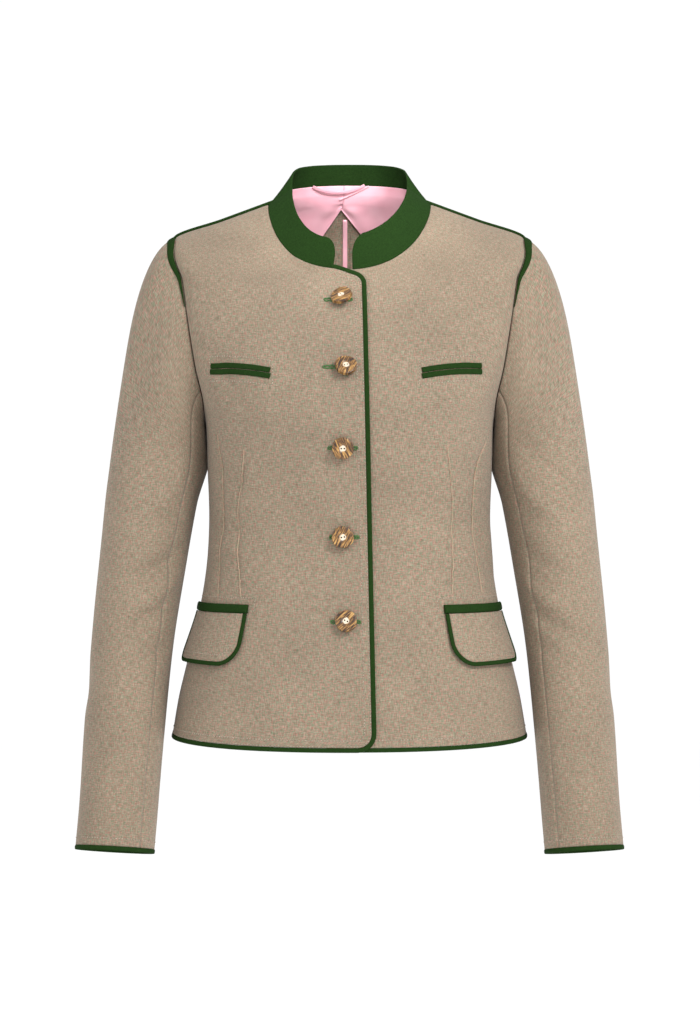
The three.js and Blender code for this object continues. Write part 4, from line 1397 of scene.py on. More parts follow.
@dataclass
class Body:
    """The four panels of the body, with their piping and topstitching."""

    panels: dict[str, Panel] = field(default_factory=dict)
    ground: Ground | None = None
    made: dict[str, bpy.types.Object] = field(default_factory=dict)
    piped: int = 17  # points of the neck edge that the piping takes in
    stitched: int = 12

    def build(self) -> None:
        """Makes the panels."""
        side, neck, middle = Border.RIGHT, Border.TOP, Border.LEFT
        for name, mirror, front, spacing, sewn in (
            ("front_right", -1, True, 2.2, (side, neck)),
            ("front_left", 1, True, 2.2, (side, neck)),
            ("back_right", -1, False, 2.7, (side, neck, middle)),
            ("back_left", 1, False, 2.7, (side, neck, middle)),
        ):
            panel = self.panels[name] = Panel(name, mirror, front, spacing, sewn)
            panel.build()
            self.made[name] = panel.make()
        self.ground = Ground(*(p.outer for p in self.panels.values()))

    def front_edge(self, near: int) -> Stations:
        """The edge of the right front: along the neck, down the front and along the hem.

        Args:
            near: how many points of the neck it takes in.

        Returns:
            The stations along it.
        """
        right = self.panels["front_right"]
        top, top_up = right.border(row=-1)
        edge, edge_up = right.border(column=0)
        hem, hem_up = right.border(row=0)
        line = np.concatenate([top[near:0:-1], edge[::-1], hem[1:]])
        up = np.concatenate([top_up[near:0:-1], edge_up[::-1], hem_up[1:]])
        return Stations.along(line, up)

    def pipings(self) -> None:
        """Green piping along the front edge and round the hem."""
        stations = self.front_edge(self.piped)
        piece = band("edge_piping_right_felt", stations, (0.05, PIPING_WIDTH), (-WALL - 0.1, 0.75))
        dress(piece, FELT_CLOTH, Slot.FELT, "edge_piping_right")
        left, left_up = self.panels["front_left"].border(row=0)
        piece = band(
            "hem_piping_left_felt", downward(Stations.along(left, left_up)),
            HEM_PIPING_ACROSS, HEM_PIPING_HIGH,
        )
        dress(piece, FELT_CLOTH, Slot.FELT, "hem_piping_left")
        one, one_up = self.panels["back_left"].border(row=0)
        two, two_up = self.panels["back_right"].border(row=0)
        line, up = np.concatenate([one[::-1], two[1:]]), np.concatenate([one_up[::-1], two_up[1:]])
        stations = downward(Stations.along(line, up))
        piece = band("hem_piping_back_felt", stations, HEM_PIPING_ACROSS, HEM_PIPING_HIGH)
        dress(piece, FELT_CLOTH, Slot.FELT, "hem_piping_back")
        for side, mark in (("right", -1), ("left", 1)):
            at = np.linspace(SHOULDER_AT - 1.4, NECK_AT + 2.4, 60)
            ring = TORSO_RINGS.at(at)
            t = mark * (math.pi / 2 + 2.1 / ring["B"])
            stations = Stations.along(TORSO.point(t, at), TORSO.normal(t, at))
            piece = band(f"shoulder_piping_{side}_felt", stations, (-3.2, 3.2), (-0.9, 2.5))
            dress(piece, FELT_CLOTH, Slot.FELT, f"shoulder_piping_{side}")

    def dart_edges(self) -> None:
        """Pressed edges of the darts: a fine roll of cloth along each sewn line, in lighter linen that is a
        painted highlight along it.
        """
        for place, darts in (("front", FRONT_DARTS[:4]), ("back", BACK_DARTS)):
            for i, dart in enumerate(darts):
                line = softened(resampled(np.array(dart.line), 1.5), 14)
                back = place == "back"
                t, at = TORSO.seen(line[:, 0], line[:, 1], back)
                stations = self.ground.settle(TORSO.over(t, at, 1.0), TORSO.normal(t, at))
                share = np.linspace(0, 1, len(line))
                sunk = 0.5 * (1 - smoothstep(share, 0, 0.12) * (1 - smoothstep(share, 0.95, 1)))
                stations.points = stations.points - stations.up * sunk[:, None]
                piece = band(f"dart_edge_{place}_{i + 1}", stations, (-0.8, 0.8), (-0.5, 1.0), corners=8)
                # the lighter linen of the roll is a painted highlight along the dart
                dress(piece, DART_LINEN_PAINTED_HIGHLIGHT, Slot.LINEN)

    def stitching(self) -> None:
        """Topstitching inside the front edge and above the hem."""
        lines = []
        stations = self.front_edge(self.stitched)
        for inside in EDGE_STITCHES:
            moved = resampled(stations.points - stations.side * inside, 1.5)
            lines.append(self.ground.settle(moved, nearest_normals(moved, stations)))
        for name in ("front_left", "back_left", "back_right"):
            row, row_up = self.panels[name].border(row=0)
            stations = downward(Stations.along(row, row_up))
            moved = resampled(stations.points - stations.side * HEM_STITCHES, 1.5)
            lines.append(self.ground.settle(moved, nearest_normals(moved, stations)))
        dress(stitches("body_topstitching", lines), LINEN_THREAD, Slot.LINEN)


def nearest_normals(points: Array, stations: Stations) -> Array:
    """Normals of the stations that lie nearest to some points."""
    away = np.linalg.norm(points[:, None] - stations.points[None], axis=-1)
    return stations.up[away.argmin(1)]


# ---------------------------------------------------------------- sleeves


@dataclass
class Sleeves:
    """Two-piece sleeves with felt inserts at their heads and piping at their cuffs."""

    front_seam: float = 45.0
    back_seam: float = 300.0
    spacing: float = 2.7
    arc: float = 0.84  # mm of cloth for each degree round the sleeve
    head: float = 165.0  # mm of cloth over the head
    stitched_above: float = 7.5
    insert_angles: tuple[float, float] = (112.0, 248.0)
    insert_widths: tuple[float, float] = (9.6, 0.8)  # at the shoulder and at the tips
    insert_crown: float = 1.3
    pressed_in: float = 3.3
    pressed_from: tuple[float, float] = (-314.0, -268.0)
    pressed_to: tuple[float, float] = (-240.0, -212.0)
    deepened: float = 1.5  # how much deeper its folds are than in the table

    def folds(self, left: bool) -> list[Fold]:
        """The folds of one sleeve; those of the other lie elsewhere.

        Args:
            left: whether it is the left sleeve.

        Returns:
            The folds, with x along the cloth round the sleeve.
        """
        made = []
        for i, fold in enumerate(SLEEVE_FOLDS):
            shift, more = (9 * math.sin(2.1 * i + 1), 0.8 + 0.35 * math.sin(1.7 * i)) if left else (0, 1)
            made.append(Fold(
                fold.x0 * self.arc, fold.z0 + shift, fold.x1 * self.arc, fold.z1 + shift * 0.6,
                fold.width * (1 + 0.1 * shift / 9), fold.depth * more * self.deepened, fold.bow,
            ))
        return made

    def lift(self, a: Array, down: Array, left: bool) -> Array:
        """How far folds, the ease of the head and the inner bend move the cloth.

        Args:
            a: angles round the sleeve.
            down: places down the sleeve, as for its points.
            left: whether it is the left sleeve.

        Returns:
            The lift, in mm.
        """
        z = SLEEVE.point(a, down)[..., 2]
        x = np.degrees(a) * self.arc
        ripple = 0.25 * np.sin(3 * a + z / 37) + 0.22 * np.sin(z / 23 + 2 * np.sin(a))
        turns = sum(fold.lift(x + k * 360 * self.arc, z) for fold in self.folds(left) for k in (-1, 0, 1))
        head = smoothstep(down, 0.72, 0.97) * (1 - smoothstep(down, 0.985, 1))
        ease = 0.3 * np.sin(a * 31 + np.sin(a * 7)) * head * np.maximum(0, -np.cos(a))
        pressed = smoothstep(z, *self.pressed_from) * (1 - smoothstep(z, *self.pressed_to))
        # the inner side lies against the body
        ease = ease + self.pressed_in * pressed * np.maximum(0, np.cos(a)) ** 3
        cuff = 0.4 + 0.6 * smoothstep(down, SLEEVE.last - SLEEVE.first, SLEEVE.last - SLEEVE.first + 40)
        return (ripple + turns) * (1 - smoothstep(down, 0.9, 1)) * cuff + ease

    def surface(self, a: Array, down: Array, left: bool, lift: Array | float = 0) -> Array:
        """Points on or over the folded sleeve.

        Args:
            a: angles round the sleeve.
            down: places down the sleeve, as for its points.
            left: whether it is the left sleeve.
            lift: how far over the cloth.

        Returns:
            The points, in mm.
        """
        a, down = np.broadcast_arrays(np.asarray(a, float), np.asarray(down, float))
        points = SLEEVE.over(a, down, self.lift(a, down, left) + lift)
        return points * np.array([-1, 1, 1]) if left else points

    def build(self) -> dict[str, bpy.types.Object]:
        """Makes the four pieces of cloth, the inserts, the piping and the topstitching.

        Returns:
            The pieces of cloth by name.
        """
        end = SLEEVE.last - SLEEVE.first
        downs = np.r_[np.linspace(1, 0, 56), np.linspace(0, end, 146)[1:]][:, None]
        made, lines = {}, []
        for side, left in (("right", False), ("left", True)):
            for part, low, high in (
                ("top_sleeve", self.front_seam, self.back_seam),
                ("under_sleeve", self.back_seam - 360, self.front_seam),
            ):
                a = np.radians(np.linspace(low, high, int((high - low) * self.arc / self.spacing)))[None, :]
                flat = self.surface(a, downs, left)
                fall = rolled(flat, (Border.LEFT, Border.RIGHT, Border.BOTTOM), 0.5, 1.6)
                outer, inner = self.surface(a, downs, left, fall), self.surface(a, downs, left, fall - WALL)
                run = np.where(downs > 0, (1 - downs) * self.head, self.head - downs)
                uv = np.stack(np.broadcast_arrays(np.degrees(a) * self.arc, run), -1)
                piece = shell(f"{part}_{side}_cloth", outer, inner, uv)
                made[f"{part}_{side}"] = dress(piece, LINEN, Slot.LINEN, f"{part}_{side}")
            round_ = np.radians(np.linspace(0, 360, 120, endpoint=False))
            rim = self.surface(round_, end, left)
            up = unit(self.surface(round_, end, left, 1.0) - rim)
            stations = downward(Stations.along(rim, up, True))
            piece = band(
                f"cuff_piping_{side}_felt", stations, HEM_PIPING_ACROSS, (-WALL - 0.2, 0.65), True,
            )
            dress(piece, FELT_CLOTH, Slot.FELT, f"cuff_piping_{side}")
            turn = np.radians(np.linspace(0, 360, 200))
            line = self.surface(turn, end + self.stitched_above, left, 0.1)
            over = self.surface(turn, end + self.stitched_above, left, 1.1)
            lines.append(Stations.along(line, over - line))
            self.insert(side, left)
        dress(stitches("cuff_topstitching", lines), LINEN_THREAD, Slot.LINEN)
        return made

    def insert(self, side: str, left: bool) -> None:
        """Felt strip over the head of a sleeve, widest at the shoulder.

        Args:
            side: right or left.
            left: whether it is the left sleeve.
        """
        a = np.radians(np.linspace(*self.insert_angles, 90))
        flip = np.array([-1 if left else 1, 1, 1])
        edge = SLEEVE.over(a, np.full(a.shape, 0.995), 1.0) * flip
        ahead = SLEEVE.over(a, np.full(a.shape, 0.9), 1.0) * flip
        up = SLEEVE.normal(a, np.full(a.shape, 0.95)) * flip
        way = unit(ahead - edge)
        width = lerp(*self.insert_widths, (np.abs(a - math.pi) / (math.pi - a[0])) ** 1.1)
        share = np.linspace(0, 1, 15)[None, :, None]
        crown = self.insert_crown * (1 - np.abs(2 * share - 1) ** 3.2)
        base = edge[:, None] + way[:, None] * (0.2 + width[:, None, None] * share)
        outer = base + up[:, None] * (crown - 0.1)
        piece = shell(f"armhole_insert_{side}_felt", outer, base - up[:, None] * 0.8)
        dress(piece, FELT_CLOTH, Slot.FELT, f"armhole_insert_{side}")


# ---------------------------------------------------------------- collar


@dataclass
class StandCollar:
    """The felt stand collar."""

    right_x: float = -17.0
    left_x: float = 3.0
    round_: float = 17.0
    square: float = 0.42

    def ends(self) -> tuple[float, float]:
        """Ring angles of the left and right ends at the neck seam."""
        x = np.array([self.left_x, self.right_x])
        return tuple(TORSO.angle_at_x(x, np.full(2, NECK_AT)))

    def make(self) -> bpy.types.Object:
        """The collar as a closed wall with soft edges.

        Returns:
            The collar.
        """
        start, stop = self.ends()
        near = np.array([0, 0.004, 0.01, 0.018, 0.03, 0.045, 0.065, 0.09, 0.12, 0.15, 0.19, 0.23])
        stop += 2 * math.pi
        a = np.r_[start + near, np.linspace(start + 0.26, stop - 0.26, 170), (stop - near)[::-1]]
        feet = TORSO.point(a, np.full(a.shape, NECK_AT))
        away = np.minimum(*(np.linalg.norm(feet - foot, axis=1) for foot in (feet[0], feet[-1])))
        standing = self.square + (1 - self.square) * np.sqrt(
            1 - (1 - np.clip(away / self.round_, 0, 1)) ** 2
        )
        v = np.r_[np.linspace(-0.02, 0.93, 26), 0.955, 0.972, 0.985, 0.994, 1.0]
        aa, vv = np.broadcast_arrays(a[None, :], v[:, None] * standing[None, :])
        height = np.linalg.norm(COLLAR.point(a, np.ones_like(a)) - feet, axis=1) * standing
        left = np.minimum((1 - v)[:, None] * height[None, :], away[None, :] + 0.02)
        soft = FELT / 2
        fall = soft - np.sqrt(np.maximum(0, soft**2 - (soft - np.clip(left, 0, soft)) ** 2))
        wave = 0.25 * np.sin(5 * aa + 1) * np.clip(vv, 0, 1) + 0.12 * np.sin(17 * aa)
        outer = COLLAR.over(aa, vv, wave - fall)
        inner = COLLAR.over(aa, vv, wave + fall - FELT)
        return dress(shell("collar_felt", outer, inner), FELT_CLOTH, Slot.FELT, "collar")


# ---------------------------------------------------------------- pockets


def along_ring(start: float, along: Array, at: float) -> Array:
    """Ring angles at some lengths of cloth from a start angle, round the ring at one height.

    Args:
        start: the start angle.
        along: lengths of cloth.
        at: the height.

    Returns:
        The angles.
    """
    t = start + np.linspace(-0.4, 2.2, 1300)
    run = lengths(TORSO.point(t, np.full(t.shape, at))[:, None], 0)[:, 0]
    run = run - np.interp(start, t, run)
    return np.interp(along, run, t)


@dataclass
class Pockets:
    """Two chest pockets with felt lips, and two hip pockets with flaps."""

    body: Body
    chest_x: tuple[float, float] = (76.0, 137.0)
    chest_z: tuple[float, float] = (-181.4, -175.4)
    chest_height: float = 11.6
    chest_frame: tuple[float, float] = (2.4, 6.6)  # stitches beyond the ends and above the lips
    hip_x: float = 98.0
    hip_top: float = -413.0
    strip: float = 9.0
    flap: float = 48.4
    width: float = 104.0
    front_corner: float = 21.0
    back_corner: float = 9.0
    piping: float = 4.2

    def ground_at(self, x: Array, z: Array) -> Stations:
        """Stations on the cloth at x and z, as they show from the front."""
        t, at = TORSO.seen(x, z)
        return self.body.ground.settle(TORSO.over(t, at, 1.0), TORSO.normal(t, at))

    def chest(self, side: str, mark: int) -> list[Stations]:
        """Lips of one chest pocket, and the line of stitches round them.

        Args:
            side: right or left.
            mark: -1 for the right side, 1 for the left.

        Returns:
            The line of stitches.
        """
        share = np.linspace(0, 1, 40)
        x = CENTRE_X + mark * lerp(*self.chest_x, share)
        z = lerp(*self.chest_z, share) + 1.6 * 4 * share * (1 - share)
        half = self.chest_height / 2
        for lip, low, high in (("upper", 0.25, half), ("lower", -half, -0.25)):
            stations = downward(self.ground_at(x, z + (low + high) / 2))
            wide = (high - low) / 2
            piece = band(
                f"chest_welt_{lip}_{side}_felt", stations, (-wide, wide), (-0.6, 1.7), square=2.6, corners=20,
            )
            dress(piece, FELT_CLOTH, Slot.FELT, f"chest_welt_{lip}_{side}")
        beyond, above = self.chest_frame
        xs = np.r_[x[0] - mark * beyond, x, x[-1] + mark * beyond]
        zs = np.r_[z[0], z, z[-1]]
        up = half + above
        loop_x = np.r_[xs, xs[::-1], xs[0]]
        loop_z = np.r_[zs + up, zs[::-1] - up, zs[0] + up]
        loop = resampled(np.stack([loop_x, loop_z], -1), 1.6)
        return [self.ground_at(loop[:, 0], loop[:, 1])]

    def hip_place(self, mark: int, along: Array, down: Array) -> Place:
        """Surface coordinates at a distance along and below the top of a hip pocket.

        Args:
            mark: -1 for the right side, 1 for the left.
            along: distances from its front end.
            down: distances below its top.

        Returns:
            The two surface coordinates.
        """
        first = TORSO.seen(np.array([CENTRE_X + mark * self.hip_x]), np.array([self.hip_top]))[0][0]
        along, down = np.broadcast_arrays(np.asarray(along, float), np.asarray(down, float))
        t = np.zeros(along.shape)
        for index in np.ndindex(down.shape[0]):
            row = down[index]
            if row.ndim and np.ptp(row) == 0:
                t[index] = along_ring(abs(first), along[index], self.hip_top - row.flat[0])
            else:
                for k in np.ndindex(row.shape):
                    t[index + k] = along_ring(abs(first), along[index + k], self.hip_top - row[k])
        return mark * t, self.hip_top - down

    def hip(self, side: str, mark: int) -> tuple[bpy.types.Object, list[Stations]]:
        """Welt, flap and piping of one hip pocket, and its lines of stitches.

        Args:
            side: right or left.
            mark: -1 for the right side, 1 for the left.

        Returns:
            The flap, and the lines that are sewn on the body and the flap.
        """
        along = np.linspace(0, self.width + 1.6, 60)
        t, at = self.hip_place(mark, along[None, :], np.full((1, 60), self.strip / 2))
        settled = self.body.ground.settle(TORSO.over(t[0], at[0], 1.0), TORSO.normal(t[0], at[0]))
        piece = band(f"hip_welt_{side}_felt", settled, (-self.strip / 2, self.strip / 2), (-0.6, 3.3))
        dress(piece, FELT_CLOTH, Slot.FELT, f"hip_welt_{side}")

        h = np.r_[np.linspace(0, 0.6, 12), np.linspace(0.64, 0.96, 16), 0.975, 0.988, 0.996, 1.0]
        gone = self.flap * (1 - h)

        def corner(radius: float) -> Array:
            """How far a rounded lower corner draws the edge in."""
            inside = np.clip(radius - gone, 0, radius)
            return radius - np.sqrt(np.maximum(0, radius**2 - inside**2))

        low = self.piping + h + corner(self.front_corner)
        high = self.width - self.piping - corner(self.back_corner)
        along = low[:, None] + (high - low)[:, None] * np.linspace(0, 1, 44)[None, :]
        down = np.repeat((self.strip + 0.2 + self.flap * h)[:, None], 44, 1)
        t, at = self.hip_place(mark, along, down)
        base, normal = TORSO.point(t, at), TORSO.normal(t, at)
        share = along / self.width
        stand = 0.7 + 5.1 * h[:, None] ** 1.1 * (0.35 + 0.65 * share)
        stand = stand + folded(FRONT_FOLDS, base[..., 0], base[..., 2]) * 0.6
        stand = stand + 0.35 * np.sin(along / 13 + mark) * h[:, None]
        inner = base + normal * stand[..., None]
        outer = inner + normal * WALL
        uv = np.stack([along, -down], -1)
        flap = dress(shell(f"flap_{side}_cloth", outer, inner, uv), LINEN, Slot.LINEN, f"flap_{side}")

        line = np.concatenate([outer[:, 0], outer[-1, 1:-1], outer[::-1, -1]])
        up = np.concatenate([normal[:, 0], normal[-1, 1:-1], normal[::-1, -1]])
        stations = Stations.along(line, up)
        middle = outer[len(h) // 2, 22]
        inward = np.einsum("ij,ij->i", stations.side, middle - line).mean() > 0
        stations = stations.reversed_side() if inward else stations
        piece = band(f"flap_piping_{side}_felt", stations, (0.05, self.piping), (-WALL - 0.1, 0.75))
        dress(piece, FELT_CLOTH, Slot.FELT, f"flap_piping_{side}")

        flap_ground = Ground(outer)
        keep = slice(1, None)
        moved = resampled(line[keep] - stations.side[keep] * 7.0, 1.5)
        sewn = [flap_ground.settle(moved, nearest_normals(moved, stations))]
        around = np.array([[-6.5, 8.0], [-6.5, -5.0], [-5.0, -6.5], [self.width, -6.5]])
        path = resampled(around, 1.6)
        t, at = self.hip_place(mark, path[:, 0], path[:, 1])
        sewn.append(self.body.ground.settle(TORSO.over(t, at, 1.0), TORSO.normal(t, at)))
        return flap, sewn

    def build(self) -> dict[str, bpy.types.Object]:
        """Makes all four pockets.

        Returns:
            The flaps by name.
        """
        flaps, lines = {}, []
        for side, mark in (("right", -1), ("left", 1)):
            lines += self.chest(side, mark)
            flaps[side], sewn = self.hip(side, mark)
            lines += sewn
        dress(stitches("pocket_topstitching", lines), LINEN_THREAD, Slot.LINEN)
        return flaps


# ---------------------------------------------------------------- buttons


@dataclass(frozen=True)
class ButtonPlace:
    """Where a button sits, how it tips and how it is turned."""

    x: float
    z: float
    tip_up: float
    tip_side: float
    spin: float


@dataclass
class Buttons:
    """Five sawn antler buttons in green worked buttonholes."""

    body: Body
    radius: float = 10.9
    thick: float = 4.2
    shank: float = 1.6
    places: tuple[ButtonPlace, ...] = (
        ButtonPlace(-7.5, -107, 16, -20, -50),
        ButtonPlace(-3.7, -177.5, 14, 3, 20),
        ButtonPlace(-6.7, -256, 6, 2, 0),
        ButtonPlace(-6.7, -345.5, 6, 3, 10),
        ButtonPlace(-3.2, -430.5, 8, -3, -25),
    )
    holes: tuple[tuple[float, float, float], ...] = (
        (-24.4, 1.5, -107.0), (-24.8, 1.5, -176.3), (-20.1, 6.6, -256.1), (-18.7, 8.2, -345.4),
        (-17.4, 9.7, -430.5),
    )

    def blank(self) -> bpy.types.Object:
        """A button lying flat at the origin, with its back at z = 0.

        Returns:
            The button.
        """
        r, thick = self.radius * MM, self.thick * MM
        bpy.ops.object.select_all(action="DESELECT")
        bpy.ops.mesh.primitive_cylinder_add(vertices=40, radius=r, depth=thick, location=(0, 0, thick / 2))
        blank = bpy.context.active_object
        bpy.ops.object.transform_apply(location=True, rotation=True, scale=True)
        bpy.ops.object.mode_set(mode="EDIT")
        bpy.ops.mesh.select_mode(type="FACE")
        bpy.ops.mesh.select_all(action="DESELECT")
        bpy.ops.object.mode_set(mode="OBJECT")
        for face in blank.data.polygons:
            face.select = face.normal.z > 0.9
        bpy.ops.object.mode_set(mode="EDIT")
        bpy.ops.mesh.inset(thickness=r * 0.3, depth=0.0002)
        bpy.ops.mesh.inset(thickness=r * 0.3, depth=0.0)
        bpy.ops.mesh.inset(thickness=r * 0.08, depth=-0.0008)
        bpy.ops.mesh.inset(thickness=r * 0.16, depth=0.0)
        bpy.ops.object.mode_set(mode="OBJECT")
        bevel = blank.modifiers.new("rim", "BEVEL")
        bevel.width, bevel.segments, bevel.angle_limit = 0.0011, 4, math.radians(40)
        bpy.ops.object.modifier_apply(modifier="rim")
        for side in (-1, 1):
            bpy.ops.object.select_all(action="DESELECT")
            bpy.ops.mesh.primitive_cylinder_add(
                vertices=16, radius=0.00085, depth=thick * 3, location=(side * 0.00155, 0, thick / 2),
            )
            drill = bpy.context.active_object
            cut = blank.modifiers.new("hole", "BOOLEAN")
            cut.operation, cut.object, cut.solver = "DIFFERENCE", drill, "EXACT"
            bpy.context.view_layer.objects.active = blank
            bpy.ops.object.modifier_apply(modifier="hole")
            bpy.data.objects.remove(drill)
        bpy.ops.object.select_all(action="DESELECT")
        blank.select_set(True)
        bpy.context.view_layer.objects.active = blank
        bpy.ops.object.shade_smooth_by_angle(angle=math.radians(35))
        return blank

    def turned(self, place: ButtonPlace) -> Matrix:
        """How a button is placed and turned, in metres.

        Args:
            place: where it sits, and how it leans.

        Returns:
            The matrix of the button.
        """
        t, at = TORSO.seen(np.array(place.x), np.array(place.z))
        normal = Vector(TORSO.normal(t, at))
        tip = math.radians(math.hypot(place.tip_up, place.tip_side))
        stand = LAP + self.shank + self.radius * math.sin(tip) * 0.8
        where = Vector(TORSO.over(t, at, stand)) * MM
        face = Vector((0, 0, 1)).rotation_difference(normal).to_matrix().to_4x4()
        tipped = Matrix.Rotation(math.radians(-place.tip_up), 4, "X") @ Matrix.Rotation(
            math.radians(place.tip_side), 4, "Z"
        )
        spun = Matrix.Rotation(math.radians(place.spin), 4, "Z")
        return Matrix.Translation(where) @ tipped @ face @ spun

    def build(self) -> None:
        """Makes the buttons, their shanks of thread and the buttonholes."""
        blank = self.blank()
        for i, place in enumerate(self.places):
            mesh = blank.data.copy()
            mesh.name = f"button_{i + 1}_antler"
            self.lay_out(mesh, i)
            for vertex in mesh.vertices:
                angle = math.atan2(vertex.co.y, vertex.co.x)
                uneven = 1 + 0.018 * math.sin(3 * angle + i) + 0.012 * math.sin(7 * angle + 2 * i)
                out = min(1, vertex.co.xy.length / (self.radius * MM))
                vertex.co.x *= 1 + (uneven - 1) * out
                vertex.co.y *= 1 + (uneven - 1) * out
            mesh.transform(self.turned(place))
            piece = bpy.data.objects.new(mesh.name, mesh)
            bpy.context.scene.collection.objects.link(piece)
            dress(piece, ANTLER, Slot.ANTLER, f"button_{i + 1}")
            self.shank_thread(i, place)
            self.buttonhole(i)
        bpy.data.objects.remove(blank)

    def lay_out(self, mesh: bpy.types.Mesh, i: int) -> None:
        """Places of a button's slice, and of its grain, which differs from button to button.

        Args:
            mesh: the button before it is turned.
            i: which button, from the top.
        """
        for name in ("slice", "grain"):
            if name not in mesh.uv_layers:
                mesh.uv_layers.new(name=name)
        turn = 0.25 + 0.7 * math.sin(2.3 * i)
        for loop in mesh.loops:
            p = mesh.vertices[loop.vertex_index].co / (self.radius * MM)
            mesh.uv_layers["slice"].data[loop.index].uv = (p.x, p.y)
            across = p.x * math.cos(turn) - p.y * math.sin(turn)
            along = p.x * math.sin(turn) + p.y * math.cos(turn)
            mesh.uv_layers["grain"].data[loop.index].uv = (across + 3.7 * i, along + 1.3 * i + 0.2 * p.z)

    def shank_thread(self, i: int, place: ButtonPlace) -> None:
        """Wound thread from the cloth through the button, showing low in its holes.

        Args:
            i: which button, from the top.
            place: where it sits, and how it leans.
        """
        turned = self.turned(place)
        t, at = TORSO.seen(np.array(place.x), np.array(place.z))
        foot = Vector(TORSO.over(t, at, LAP - 1.0)) * MM
        head = turned @ Vector((0, 0, 0.0022))
        points = np.linspace(np.array(foot) / MM, np.array(head) / MM, 14)
        up = np.repeat([np.array((turned.to_3x3() @ Vector((1, 0, 0))).normalized())], 14, 0)
        waist = Stations.along(points, up)
        piece = band(f"button_thread_{i + 1}", waist, (-1.5, 1.5), (-1.5, 1.5), square=2, corners=12)
        dress(piece, GREEN_THREAD, Slot.FELT)

    def buttonhole(self, i: int) -> None:
        """Close purl stitches round a slit, with a bar at each end.

        Args:
            i: which buttonhole, from the top.
        """
        x0, x1, z = self.holes[i]
        half = 1.2
        turn = np.linspace(0, math.pi, 9)
        right = np.stack([x1 + half * np.sin(turn), z + half * np.cos(turn)], -1)
        left = np.stack([x0 - half * np.sin(turn), z - half * np.cos(turn)], -1)
        loop = resampled(np.concatenate([right, left, right[:1]]), 0.5)[:-1]
        t, at = TORSO.seen(loop[:, 0], loop[:, 1])
        normals = TORSO.normal(t, at)
        stations = self.body.ground.settle(TORSO.over(t, at, 3.0), normals, True)
        count = np.arange(len(loop))
        purl = 0.3 * np.sin(count * math.pi * 0.9) + 0.25 * np.sin(count * 0.7 + i)
        stations.points = stations.points + stations.side * purl[:, None]
        piece = band(f"buttonhole_{i + 1}", stations, (-0.95, 0.95), (-0.5, 0.85), True, 2, 8)
        dress(piece, GREEN_THREAD, Slot.FELT)


# ---------------------------------------------------------------- inside the back


